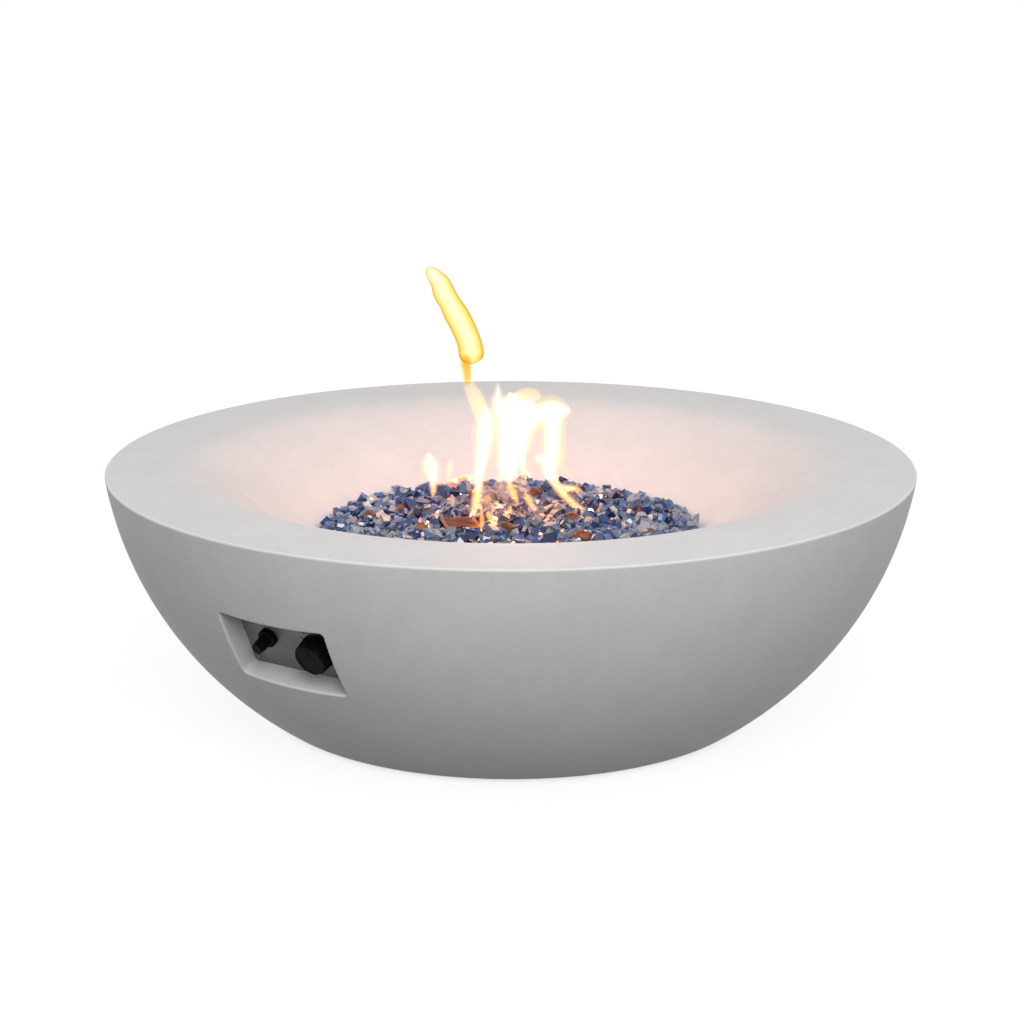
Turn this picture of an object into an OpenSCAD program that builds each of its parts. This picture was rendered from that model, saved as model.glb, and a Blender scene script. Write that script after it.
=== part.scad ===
// Gas fire pit bowl: a cast round bowl with a burner pan, fire glass and a recessed control panel.
// Millimetres, +Z up, origin on the floor under the bowl's centre. The control panel faces -Y.

/* [Bowl] */
// Outer diameter across the rim
rim_d = 1067; // [1000:1:1140]
// Outer diameter of the base
base_d = 658; // [600:1:700]
// Height from the floor to the rim
overall_h = 330; // [310:1:370]
// Radius of the side wall's arc
wall_arc_r = 475; // [450:1:520]
// Thickness of the cast side wall
wall_t = 16; // [12:0.5:22]
// Thickness of the cast rim and dish
dish_t = 16; // [12:0.5:20]
// Width of the flat top of the rim
rim_flat_w = 97; // [75:1:115]
// Radius of the soft lip between the rim and the dish
lip_r = 105; // [60:1:125]
// Slope of the dish below level, in degrees
dish_slope = 35; // [31:0.5:38]
// Round on the rim's outer edge
rim_edge_r = 2; // [1:0.5:5]
// Round on the base's outer edge
base_edge_r = 4; // [3:0.5:10]

/* [Feet and hose notch] */
// Height of each foot pad
foot_h = 4; // [3:0.5:10]
// Diameter of each foot pad
foot_d = 16; // [12:1:20]
// Number of foot pads
foot_count = 6; // [4:2:8]
// Width of the notch for the gas hose at the back of the base
hose_notch_w = 34; // [26:1:50]
// Height of that notch above the base
hose_notch_h = 28; // [20:1:40]

/* [Control recess] */
// Width of the recess
recess_w = 157; // [150:1:180]
// Height of the recess, along the panel
recess_h = 97; // [88:1:105]
// Corner radius of the recess
recess_corner_r = 5; // [3:0.5:12]
// Height of the recess's centre below the rim
recess_drop = 146; // [130:1:160]
// Depth of the panel's face behind the side wall at the recess's centre
recess_depth = 35; // [28:1:40]
// Tilt of the panel from upright, facing down, in degrees
recess_tilt = 24; // [18:0.5:28]
// Thickness of the cast walls round the recess
recess_wall_t = 13; // [9:0.5:18]
// Width of the ledge that carries the panel
panel_ledge_w = 12; // [11:0.5:14]
// Thickness of that ledge
panel_ledge_t = 12; // [8:0.5:16]
// Thickness of the panel's sheet
panel_t = 1.5; // [1:0.1:3]
// Gap between the panel's edge and the recess
panel_gap = 0.6; // [0.3:0.1:2]
// Distance of the panel's screws from the recess walls
panel_screw_inset = 6.5; // [6:0.1:7]
// Shank diameter of the panel and valve screws
screw_d = 4; // [3:0.1:4.5]
// Head diameter of these screws
screw_head_d = 7.4; // [6:0.1:8]
// Head height of these screws
screw_head_h = 2.2; // [1.5:0.1:3]
// Grip length of the panel screws in the ledge
panel_screw_grip = 9; // [6:0.5:11]

/* [Controls] */
// Distance between the igniter's axis and the knob's axis
control_pitch = 80; // [76:1:86]
// Distance of both axes below the panel's centre
control_drop = 2; // [0:0.5:6]
// Diameter of the knob at its skirt
knob_d = 46; // [40:0.5:50]
// Height of the knob
knob_h = 21; // [16:0.5:24]
// Gap between the released knob and the panel
knob_gap = 5.5; // [5:0.1:8]
// Wall of the knob's skirt
knob_wall = 2.5; // [1.8:0.1:3]
// How much the knob narrows towards its face, on the radius
knob_taper = 1.5; // [0.5:0.1:3]
// Number of grip flutes round the knob
knob_flutes = 8; // [6:1:10]
// Diameter of each grip flute
knob_flute_d = 16; // [10:0.5:20]
// Depth of each grip flute
knob_flute_depth = 1.4; // [0.8:0.1:1.6]
// How far the knob pushes in
knob_travel = 4; // [2:0.1:4.2]
// Diameter of the valve's stem
stem_d = 6; // [5:0.1:8]
// Depth of the flat on the stem
stem_flat = 1; // [0.5:0.1:1.5]
// Diameter of the igniter's collar
collar_d = 24; // [21.5:0.5:28]
// Height of the igniter's collar in front of the panel
collar_h = 9; // [6:0.5:12]
// Diameter of the igniter's barrel behind the collar
barrel_d = 20; // [19:0.1:20.8]
// Diameter of the igniter's button
button_d = 16; // [15.6:0.1:16.6]
// Height of the button's end in front of the panel
button_reach = 27; // [22:0.5:30]
// How far the button pushes in
button_travel = 3.5; // [2:0.1:4]

/* [Gas valve] */
// Diameter of the valve's body
valve_d = 34; // [32:0.5:38]
// Length of the valve's body behind its flange
valve_len = 40; // [38:0.5:50]
// Width of the valve's mounting flange
valve_flange_w = 40; // [36:0.5:44]
// Height of the valve's mounting flange
valve_flange_h = 22; // [20:0.5:26]
// Thickness of the valve's mounting flange
valve_flange_t = 5; // [4:0.1:7]
// Distance of each valve screw from the stem
valve_screw_offset = 13; // [12.5:0.1:13.5]
// Diameter of the push rod behind the stem
push_rod_d = 8; // [7.5:0.1:9]
// Length of the push rod
push_rod_len = 12; // [10:0.5:14]
// Thread diameter of the gas inlet
inlet_d = 15.88; // [12:0.01:19.05]
// Thread length of the gas inlet
inlet_len = 14; // [10:0.5:20]
// Diameter of the supply tube
tube_d = 10; // [8:0.5:12]

/* [Burner pan] */
// Radius of the dish's lower edge, where the pan drops in
pan_seat_r = 240; // [225:1:250]
// Depth of the seat below the dish's lower edge
pan_seat_step = 3; // [2:0.5:6]
// Width of the ledge that carries the pan
pan_ledge_w = 18; // [14:1:24]
// Gap round the pan's flange
pan_flange_gap = 2; // [1:0.5:4]
// Gap between the pan's wall and the ledge
pan_well_gap = 3; // [1:0.5:5]
// Sheet thickness of the pan
pan_t = 1.5; // [1:0.1:2.5]
// Depth of the pan's well below the ledge
pan_depth = 34; // [30:1:40]
// Diameter of the drain holes
drain_d = 8; // [5:0.5:12]
// Number of drain holes
drain_count = 6; // [4:1:8]
// Diameter of the hole for the pilot leads
lead_hole_d = 34; // [30:0.5:38]

/* [Burner] */
// Diameter of the burner ring, at the middle of its tube
ring_d = 230; // [215:1:260]
// Diameter of the burner's tube
ring_tube_d = 19; // [16:0.5:20]
// Wall of the burner's tubes
burner_wall = 1.2; // [0.8:0.1:2]
// Gap between the ring and the pan's floor
ring_lift = 9; // [6:0.5:12]
// Diameter of the burner's arms
arm_d = 16; // [13:0.5:17]
// Diameter of the burner's hub
hub_d = 34; // [30:0.5:40]
// Diameter of the flame ports
port_d = 3; // [2:0.1:4]
// Number of flame ports in the ring
ring_ports = 24; // [16:4:32]
// Lean of the flame ports away from the axis, in degrees
port_lean = 30; // [20:1:45]
// Outer diameter of the pipe nipple
nipple_d = 21.3; // [18:0.1:24]
// Wall of the pipe nipple
nipple_wall = 2.7; // [2:0.1:3.5]
// Length of each pipe thread
thread_len = 12; // [8:0.5:14]
// Height of the locknut under the pan
locknut_h = 7; // [5:0.5:10]
// Diameter of the air mixer's tube
mixer_d = 30; // [28:0.5:36]
// Length of the air mixer
mixer_len = 48; // [44:1:55]
// Width of the mixer's air windows
air_window_w = 9; // [6:0.5:12]
// Height of the mixer's air windows
air_window_h = 16; // [12:0.5:18]
// Diameter of the gas orifice's spigot
orifice_d = 12; // [10:0.5:14]

/* [Pilot parts] */
// Distance of the pilot parts from the bowl's axis
pilot_r = 68; // [66:0.5:70]
// Length of the guard, away from the axis
guard_l = 48; // [46:0.5:52]
// Width of the guard
guard_w = 56; // [52:0.5:58]
// Sheet thickness of the guard and bracket
guard_t = 1.2; // [0.8:0.1:1.6]
// Number of slots in the guard
guard_slots = 7; // [5:1:8]
// Width of each slot
guard_slot_w = 4; // [3:0.1:5]
// How far the guard's top stands above the glass bed
guard_proud = 1; // [0.5:0.5:6]
// Height of the pilot bracket's shelf above the pan's floor
shelf_h = 24; // [22:0.5:30]
// Distance between the electrode and the thermocouple
pilot_pitch = 18; // [16:0.5:20]
// Diameter of the electrode's ceramic
ceramic_d = 7; // [6:0.1:8]
// Diameter of the thermocouple's probe
probe_d = 5; // [4:0.1:6]
// Diameter of the pilot leads
lead_d = 3; // [2.5:0.1:4]

/* [Fire bed] */
// How far the glass lies out on the dish, past the pan's seat
glass_spread = 22; // [16:1:32]
// Height of the glass bed's middle above the dish's lower edge
glass_h = 30; // [26:1:36]
// Number of glass lumps that the bed's surface shows
glass_lumps = 176; // [60:1:190]
// Mean size of a glass lump
glass_lump_size = 30; // [22:0.5:34]
// Mean size of a lava stone
stone_size = 27; // [20:0.5:32]
// Gap left between loose fill and its neighbours
fill_gap = 0.4; // [0.3:0.05:1]

/* [Hidden] */

// Facets of a drawn circle, and of the bowl's large circles
$fn = 64;
big_fn = 180;
// Overshoot of a cutting shape past the face that it opens
over = 1;
// Radial clearance of a screwed or pushed-in round joint
screwed = 0.05;
// Radial clearance of a shaft that turns or slides
running = 0.08;
// Gap between flat faces of pieces that move
flat_gap = 0.2;
// Radial gap of a bolt or lead in its hole
hole_gap = 0.3;

// Bowl: the side wall's arc runs through the rim's and the base's edges
rim_r = rim_d / 2;
base_r = base_d / 2;
chord = [rim_r - base_r, overall_h - foot_h];
arc_sag = sqrt(pow(wall_arc_r, 2) - pow(norm(chord) / 2, 2));
wall_c = [(rim_r + base_r) / 2 - arc_sag * chord[1] / norm(chord),
    (overall_h + foot_h) / 2 + arc_sag * chord[0] / norm(chord)];
function wall_r_at(z, inset) = wall_c[0] + sqrt(pow(wall_arc_r - inset, 2) - pow(wall_c[1] - z, 2));

rim_edge_c = [wall_c[0] + sqrt(pow(wall_arc_r - rim_edge_r, 2) - pow(wall_c[1] - overall_h + rim_edge_r, 2)),
    overall_h - rim_edge_r];
rim_edge_dir = (rim_edge_c - wall_c) / (wall_arc_r - rim_edge_r);
base_edge_c = [wall_c[0] + sqrt(pow(wall_arc_r - base_edge_r, 2) - pow(wall_c[1] - foot_h - base_edge_r, 2)),
    foot_h + base_edge_r];
base_edge_dir = (base_edge_c - wall_c) / (wall_arc_r - base_edge_r);
base_in_r = wall_r_at(foot_h, wall_t);
foot_inset = 1;
foot_ring_r = base_in_r + foot_inset + foot_d / 2;

// Dish: rim flat, lip arc, then a straight slope to the pan's seat
lip_c = [rim_r - rim_flat_w, overall_h - lip_r];
slope_dir = [-sin(dish_slope), cos(dish_slope)];
lip_end = lip_c + lip_r * slope_dir;
lip_under = lip_c + (lip_r - dish_t) * slope_dir;
function dish_z(r) = lip_end[1] - (lip_end[0] - r) * tan(dish_slope);
seat_edge_z = dish_z(pan_seat_r);
ledge_z = seat_edge_z - pan_seat_step;
ledge_under_z = ledge_z - dish_t;
ledge_under_r = lip_under[0] - (lip_under[1] - ledge_under_z) / tan(dish_slope);
well_hole_r = pan_seat_r - pan_ledge_w;

// Recess: its own frame has +Z out of the panel's face and +Y up the panel
recess_z = overall_h - recess_drop;
panel_c = [0, -wall_r_at(recess_z, 0) + recess_depth * cos(recess_tilt),
    recess_z + recess_depth * sin(recess_tilt)];
function panel_dir(v) = [v[0], -v[1] * sin(recess_tilt) - v[2] * cos(recess_tilt),
    v[1] * cos(recess_tilt) - v[2] * sin(recess_tilt)];
function panel_point(v) = panel_c + panel_dir(v);
knob_at = [control_pitch / 2, -control_drop];
igniter_at = [-control_pitch / 2, -control_drop];
panel_w = recess_w - 2 * panel_gap;
panel_h = recess_h - 2 * panel_gap;
screw_hole_d = screw_d + 2 * hole_gap;
window_corner_r = 4;

// Knob, stem and valve, along the knob's axis
knob_top = knob_gap + knob_h;
knob_roof = 4;
knob_boss_d = stem_d + 6;
knob_boss_start = 1.5;
stem_front = knob_top - knob_roof - 1.5;
stem_rear = -panel_t - valve_flange_t - 8;
stem_hole_d = stem_d + 5;
push_rod_front = stem_rear - flat_gap;
push_rod_rear = push_rod_front - push_rod_len;
valve_rear = -panel_t - valve_flange_t - valve_len;
magnet_d = 26;
magnet_len = 12;
chamber_end = push_rod_rear - knob_travel - 6;
valve_spring_d = push_rod_d - 1;
spring_wire_d = 0.9;
valve_port_depth = 20;
valve_port_z = -panel_t - valve_flange_t - valve_port_depth;
port_boss_d = 22;
port_boss_reach = valve_d / 2 + 6;
nut_af = tube_d + 9;
nut_len = 12;
inlet_shoulder_len = 6;
flare_len = 5;

// Igniter, along its own axis
button_seat = -4.5;
button_skirt = button_seat + button_travel + 0.5;
button_bore_d = button_d + 2 * running;
battery_d = 14.5;
battery_len = 49.5;
battery_nub_d = 5.5;
battery_nub_h = 1;
battery_top = button_seat - 1;
battery_rear = battery_top - battery_len;
cell_bore_d = battery_d + 0.5;
barrel_rear = battery_rear - 1;
button_tip_d = 13;
button_tip_h = 7;
button_socket_d = 11;
button_socket_h = 10;
button_spring_d = 9;
igniter_nut_af = 28;
igniter_nut_h = 5;
end_cap_h = 8;
terminal_d = 5;
terminal_len = 7;

// Pan and burner heights
flange_r = pan_seat_r - pan_flange_gap;
well_r = well_hole_r - pan_well_gap;
pan_under = ledge_z - pan_depth;
pan_floor = pan_under + pan_t;
ring_z = pan_floor + ring_lift + ring_tube_d / 2;
hub_top = ring_z + ring_tube_d / 2;
hub_room_z = ring_z - arm_d / 2;
arm_start = arm_d / 2 + over;
nipple_top = pan_floor + thread_len;
locknut_z = pan_under - locknut_h;
mixer_top = locknut_z - 2;
mixer_z = mixer_top - mixer_len;
nipple_z = mixer_top - thread_len;
mixer_wall = 2.5;
mixer_base_h = 10;
air_windows = 4;
hex_h = 8;
elbow_d = 18;
elbow_drop = 13;
elbow_reach = 24;
orifice_z = mixer_z - hex_h;
elbow_z = orifice_z - elbow_drop;

// Pilot parts stand between two of the burner's arms
pilot_angle = 225;
arm_count = 4;
bracket_l = 18;
bracket_margin = 11;
bracket_w = pilot_pitch + 2 * bracket_margin;
probe_len = 30;
probe_nut_af = 12;
probe_nut_h = 5;
rod_d = 2.2;
rod_reach = 12;
ceramic_collar_d = ceramic_d + 3;
ceramic_collar_h = 3;
ceramic_up = 20;
ceramic_down = 12;

// Fire bed heights
bed_z = seat_edge_z + fill_gap;
glass_edge_r = pan_seat_r + glass_spread;
bed_edge_w = 14;
bed_shoulder_r = glass_edge_r - bed_edge_w;
bed_top = bed_z + glass_h;
bed_crown = 8;
lump_stand = 10;
function bed_top_at(r) = bed_top - bed_crown * pow(r / bed_shoulder_r, 2);
function bed_under_at(r) = dish_z(r) + fill_gap / cos(dish_slope);
guard_top = bed_top_at(pilot_r) + guard_proud;
golden = 137.508;

// Points on a cubic curve, and a round tube swept along points
function unit(v) = v / norm(v);
function curve_at(p, t) = pow(1 - t, 3) * p[0] + 3 * pow(1 - t, 2) * t * p[1]
    + 3 * (1 - t) * pow(t, 2) * p[2] + pow(t, 3) * p[3];
function curve(p, steps) = [for (i = [0 : steps]) curve_at(p, i / steps)];
// The same curve between two straight ends of that length, square to what they meet
function run(p, steps, straight) =
    let (out = straight * unit(p[1] - p[0]), back = straight * unit(p[2] - p[3]))
    concat([p[0]], curve([p[0] + out, p[1] + out, p[2] + back, p[3] + back], steps), [p[3]]);
function heading(path, i) = unit(path[min(i + 1, len(path) - 1)] - path[max(i - 1, 0)]);

module tube_along(path, d, sides, aside) {
    rings = len(path);
    points = [for (i = [0 : rings - 1])
        let (along = heading(path, i), s = unit(cross(along, aside)), u = cross(along, s))
        for (k = [0 : sides - 1])
            path[i] + d / 2 * (cos(360 * k / sides) * s + sin(360 * k / sides) * u)];
    sides_faces = [for (i = [0 : rings - 2], k = [0 : sides - 1])
        let (a = i * sides + k, b = i * sides + (k + 1) % sides)
        each [[a, a + sides, b + sides], [a, b + sides, b]]];
    start_faces = [for (k = [1 : sides - 2]) [0, k, k + 1]];
    last = (rings - 1) * sides;
    end_faces = [for (k = [1 : sides - 2]) [last, last + k + 1, last + k]];
    polyhedron(points = points, faces = concat(sides_faces, start_faces, end_faces));
}

// A coil spring on Z, from z0 up to z1, as one helix
spring_steps = 10;
module coil_spring(d, wire, z0, z1, turns) {
    r = (d - wire) / 2;
    rise = z1 - z0 - wire;
    steps = turns * spring_steps;
    path = [for (i = [0 : steps]) [r * cos(360 * i / spring_steps), r * sin(360 * i / spring_steps),
        z0 + wire / 2 + rise * i / steps]];
    tube_along(path, wire, 6, [0, 0, 1]);
}

module rounded_rect(w, h, r) {
    square([w - 2 * r, h], center = true);
    square([w, h - 2 * r], center = true);
    for (x = [-1, 1], y = [-1, 1])
        translate([x * (w / 2 - r), y * (h / 2 - r)]) circle(r = r);
}

module hex(af, h) {
    cylinder(d = af / cos(30), h = h, $fn = 6);
}

module on_panel() {
    translate(panel_c) rotate([90 + recess_tilt, 0, 0]) children();
}

module at_knob() {
    on_panel() translate([knob_at[0], knob_at[1], 0]) children();
}

module at_igniter() {
    on_panel() translate([igniter_at[0], igniter_at[1], 0]) children();
}

module at_panel_screws() {
    for (x = [-1, 1], y = [-1, 1])
        translate([x * (recess_w / 2 - panel_screw_inset), y * (recess_h / 2 - panel_screw_inset), 0])
            children();
}

module at_valve_screws() {
    for (x = [-1, 1])
        translate([x * valve_screw_offset, 0, 0]) children();
}

module at_pilot(z) {
    rotate([0, 0, pilot_angle]) translate([pilot_r, 0, z]) children();
}

module recess_prism(grow, corner, z0, z1) {
    on_panel() translate([0, 0, z0]) linear_extrude(z1 - z0)
        rounded_rect(recess_w + 2 * grow, recess_h + 2 * grow, corner);
}

// Cast bowl
module outer_profile() {
    difference() {
        intersection() {
            translate(wall_c) circle(r = wall_arc_r, $fn = big_fn);
            translate([0, foot_h]) square([rim_r + over, overall_h - foot_h]);
        }
        polygon([rim_edge_c, rim_edge_c + [0, 2 * rim_edge_r], rim_edge_c + [3 * rim_edge_r, 2 * rim_edge_r],
            rim_edge_c + 3 * rim_edge_r * rim_edge_dir]);
        polygon([base_edge_c, base_edge_c - [0, 2 * base_edge_r],
            base_edge_c + 2 * base_edge_r * (base_edge_dir - [0, 1]),
            base_edge_c + 2 * base_edge_r * base_edge_dir]);
    }
    translate(rim_edge_c) circle(r = rim_edge_r);
    translate(base_edge_c) circle(r = base_edge_r);
}

module dish_void_profile() {
    difference() {
        polygon([[0, overall_h + over], [lip_c[0], overall_h + over], lip_c, lip_end,
            [pan_seat_r, seat_edge_z], [pan_seat_r, ledge_z], [well_hole_r, ledge_z],
            [well_hole_r, 0], [0, 0]]);
        translate(lip_c) circle(r = lip_r, $fn = big_fn);
    }
}

module hollow_profile() {
    intersection() {
        translate(wall_c) circle(r = wall_arc_r - wall_t, $fn = big_fn);
        union() {
            polygon([[0, 0], [rim_r, 0], [rim_r, overall_h - dish_t], [lip_c[0], overall_h - dish_t],
                lip_under, [ledge_under_r, ledge_under_z], [0, ledge_under_z]]);
            translate(lip_c) circle(r = lip_r - dish_t, $fn = big_fn);
        }
    }
}

module hose_notch() {
    crown_z = foot_h + hose_notch_h - hose_notch_w / 2;
    translate([0, base_in_r / 2, 0]) {
        translate([-hose_notch_w / 2, 0, 0]) cube([hose_notch_w, base_r, crown_z]);
        translate([0, 0, crown_z]) rotate([-90, 0, 0]) cylinder(d = hose_notch_w, h = base_r);
    }
}

module bowl_shell() {
    ledge_floor = -panel_t - panel_ledge_t;
    color("gainsboro") difference() {
        rotate_extrude($fn = big_fn) outer_profile();
        rotate_extrude($fn = big_fn) dish_void_profile();
        difference() {
            rotate_extrude($fn = big_fn) hollow_profile();
            recess_prism(recess_wall_t, recess_corner_r + recess_wall_t, ledge_floor, 2 * recess_depth);
        }
        recess_prism(0, recess_corner_r, -panel_t, 2 * recess_depth);
        recess_prism(-panel_ledge_w, window_corner_r, ledge_floor - over, 0);
        on_panel() at_panel_screws() translate([0, 0, -panel_t - panel_screw_grip - over])
            cylinder(d = screw_d + 2 * screwed, h = panel_screw_grip + 2 * over);
        hose_notch();
    }
}

module foot_pads() {
    color("dimgray") for (i = [0 : foot_count - 1])
        rotate([0, 0, 360 * i / foot_count]) translate([foot_ring_r, 0, 0]) cylinder(d = foot_d, h = foot_h);
}

// Burner pan and burner
module burner_pan() {
    color("silver") difference() {
        rotate_extrude($fn = big_fn)
            polygon([[0, pan_under], [well_r, pan_under], [well_r, ledge_z], [flange_r, ledge_z],
                [flange_r, ledge_z + pan_t], [well_r - pan_t, ledge_z + pan_t], [well_r - pan_t, pan_floor],
                [0, pan_floor]]);
        translate([0, 0, pan_under - over]) cylinder(d = nipple_d + 2 * hole_gap, h = pan_t + 2 * over);
        for (i = [0 : drain_count - 1])
            rotate([0, 0, 360 * (i + 0.5) / drain_count])
                translate([(ring_d / 2 + well_r) / 2, 0, pan_under - over])
                    cylinder(d = drain_d, h = pan_t + 2 * over);
        at_pilot(pan_under - over) cylinder(d = lead_hole_d, h = pan_t + 2 * over);
    }
}

module burner_tubes(shrink) {
    translate([0, 0, ring_z]) {
        rotate([0, 0, 180 / arm_count]) rotate_extrude() translate([ring_d / 2, 0])
            circle(d = ring_tube_d - 2 * shrink);
        for (i = [0 : arm_count - 1])
            rotate([0, 0, 360 * i / arm_count]) rotate([0, 90, 0]) translate([0, 0, arm_start])
                cylinder(d = arm_d - 2 * shrink, h = ring_d / 2 - arm_start);
    }
}

module burner_ring() {
    color("silver") difference() {
        union() {
            burner_tubes(0);
            translate([0, 0, pan_floor]) cylinder(d = hub_d, h = hub_top - pan_floor);
        }
        burner_tubes(burner_wall);
        translate([0, 0, hub_room_z])
            cylinder(d = hub_d - 4 * burner_wall, h = hub_top - burner_wall - hub_room_z);
        translate([0, 0, pan_floor - over])
            cylinder(d = nipple_d + 2 * screwed, h = hub_room_z - pan_floor + 2 * over);
        for (i = [0 : ring_ports - 1])
            rotate([0, 0, 360 * (i + 0.5) / ring_ports]) translate([ring_d / 2, 0, ring_z])
                rotate([0, port_lean, 0]) cylinder(d = port_d, h = ring_tube_d / 2 + over, $fn = 16);
    }
}

module burner_nipple() {
    color("gray") translate([0, 0, nipple_z]) difference() {
        cylinder(d = nipple_d, h = nipple_top - nipple_z);
        translate([0, 0, -over])
            cylinder(d = nipple_d - 2 * nipple_wall, h = nipple_top - nipple_z + 2 * over);
    }
}

module burner_locknut() {
    locknut_af = nipple_d + 12;
    color("gray") translate([0, 0, locknut_z]) difference() {
        hex(locknut_af, locknut_h);
        translate([0, 0, -over]) cylinder(d = nipple_d + 2 * screwed, h = locknut_h + 2 * over);
    }
}

module air_mixer() {
    inside_d = mixer_d - 2 * mixer_wall;
    window_z = mixer_base_h + 3;
    band_d = mixer_d + 3;
    color("darkgoldenrod") translate([0, 0, mixer_z]) difference() {
        union() {
            cylinder(d = mixer_d, h = mixer_len);
            hex(mixer_d, mixer_base_h);
            translate([0, 0, mixer_len - thread_len]) cylinder(d = band_d, h = thread_len);
        }
        translate([0, 0, -over]) cylinder(d = orifice_d + 2 * screwed, h = mixer_base_h + 2 * over);
        translate([0, 0, mixer_base_h]) cylinder(d = inside_d, h = mixer_len - thread_len - mixer_base_h);
        translate([0, 0, mixer_len - thread_len - over])
            cylinder(d = nipple_d + 2 * screwed, h = thread_len + 2 * over);
        for (i = [0 : air_windows - 1])
            rotate([0, 0, 360 * i / air_windows])
                translate([0, -air_window_w / 2, window_z]) cube([mixer_d, air_window_w, air_window_h]);
    }
}

module gas_orifice() {
    nozzle_h = 7;
    spanner_af = orifice_d + 7;
    color("goldenrod") translate([0, 0, orifice_z]) {
        hex(spanner_af, hex_h);
        translate([0, 0, hex_h]) cylinder(d = orifice_d, h = mixer_base_h);
        translate([0, 0, hex_h + mixer_base_h])
            cylinder(d1 = orifice_d - 3, d2 = orifice_d / 3, h = nozzle_h);
    }
}

module mixer_elbow() {
    color("goldenrod") translate([0, 0, elbow_z]) {
        cylinder(d = elbow_d, h = elbow_drop);
        sphere(d = elbow_d);
        rotate([90, 0, 0]) cylinder(d = elbow_d, h = elbow_reach);
    }
}

// Supply tube: out of the valve's side port, then in to the elbow under the burner
tube_start = panel_point([knob_at[0] + port_boss_reach + nut_len, knob_at[1], valve_port_z]);
tube_end = [0, -elbow_reach - nut_len, elbow_z];
tube_handles = [90, 150];
tube_curve = [tube_start, tube_start + [tube_handles[0], 0, 0], tube_end - [0, tube_handles[1], 0], tube_end];

module supply_tube() {
    color("silver") tube_along(run(tube_curve, 28, tube_d), tube_d, 12, [0, 0, 1]);
}

module tube_nuts() {
    color("goldenrod") {
        translate([0, -elbow_reach, elbow_z]) rotate([90, 0, 0]) hex(nut_af, nut_len);
        at_knob() translate([port_boss_reach, 0, valve_port_z]) rotate([0, 90, 0]) hex(nut_af, nut_len);
    }
}

// Loose fill
module lava_rock_bed() {
    clear = 2 * fill_gap;
    color("saddlebrown") difference() {
        translate([0, 0, pan_floor])
            cylinder(r = well_r - pan_t - fill_gap, h = seat_edge_z - pan_floor, $fn = big_fn);
        burner_tubes(-fill_gap);
        translate([0, 0, pan_floor - over])
            cylinder(d = hub_d + clear, h = hub_top - pan_floor + over + fill_gap);
        at_pilot(pan_floor - over) translate([-guard_l / 2 - fill_gap, -guard_w / 2 - fill_gap, 0])
            cube([guard_l + clear, guard_w + clear, guard_top - pan_floor]);
    }
}

module bed_mound() {
    rotate_extrude($fn = 72)
        polygon([[0, bed_z], [pan_seat_r, bed_z], [bed_shoulder_r, bed_under_at(bed_shoulder_r)],
            [bed_shoulder_r, bed_top_at(bed_shoulder_r) - lump_stand],
            [bed_shoulder_r / 2, bed_top_at(bed_shoulder_r / 2) - lump_stand], [0, bed_top - lump_stand]]);
}

// The space over the pan and the dish's slope that the glass may fill
module bed_space() {
    rotate_extrude($fn = 72)
        polygon([[0, bed_z], [pan_seat_r, bed_z], [glass_edge_r, bed_under_at(glass_edge_r)],
            [glass_edge_r, bed_top + glass_h], [0, bed_top + glass_h]]);
}

// One broken lump: the corners of a brick, each moved at random, then turned at random
function lump_points(size, seed) = let (jog = rands(0.55, 1.1, 24, seed))
    [for (k = [0 : 7]) size / 2 * [
        (k % 2 == 0 ? -1 : 1) * jog[3 * k],
        (floor(k / 2) % 2 == 0 ? -1 : 1) * jog[3 * k + 1] * 0.8,
        (k < 4 ? -1 : 1) * jog[3 * k + 2] * 0.6]];
lump_faces = [[0, 1, 3, 2], [4, 6, 7, 5], [0, 4, 5, 1], [2, 3, 7, 6], [0, 2, 6, 4], [1, 5, 7, 3]];

module lump(size, seed) {
    turn = rands(0, 360, 3, seed + 1);
    rotate(turn) polyhedron(points = lump_points(size, seed), faces = lump_faces);
}

// The space that a lump sweeps as it moves straight up
module swept_up(rise) {
    hull() {
        children();
        translate([0, 0, rise]) children();
    }
}

lump_overhang = 2;
lump_reach_r = bed_shoulder_r + lump_overhang;
lump_sink = 0.25;
module glass_surface() {
    for (i = [0 : glass_lumps - 1]) {
        r = lump_reach_r * sqrt((i + 0.5) / glass_lumps);
        size = glass_lump_size * rands(0.75, 1.1, 1, i)[0];
        translate([r * cos(golden * i), r * sin(golden * i), bed_top_at(r) - size * lump_sink - lump_stand])
            swept_up(lump_stand) lump(size, 2 * i + 1);
    }
}

// Where the lava stones lie on the glass
stone_spots = bed_shoulder_r / 100 * [[44, 65], [-32, -40], [-65, -10], [-73, -30], [50, -6], [10, -18],
    [-24, 60], [-48, 34], [8, -67], [24, 24], [71, 26]];
stone_rise = -0.05;
stone_flat = 0.7;
module stones(grow, rise) {
    for (i = [0 : len(stone_spots) - 1]) {
        spot = stone_spots[i];
        size = stone_size * rands(0.8, 1.25, 1, 500 + i)[0];
        translate([spot[0], spot[1], bed_top_at(norm(spot)) + size * stone_rise])
            swept_up(rise) scale([1, 1, stone_flat]) lump(size + 2 * grow, 700 + 3 * i);
    }
}

module fire_glass_bed() {
    clear = 2 * fill_gap;
    color("slategray") difference() {
        union() {
            bed_mound();
            intersection() {
                glass_surface();
                bed_space();
            }
        }
        stones(fill_gap, 2 * glass_h);
        at_pilot(bed_z - over) translate([-guard_l / 2 - fill_gap, -guard_w / 2 - fill_gap, 0])
            cube([guard_l + clear, guard_w + clear, 2 * glass_h]);
    }
}

module lava_stones() {
    color("sienna") stones(0, 0);
}

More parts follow.
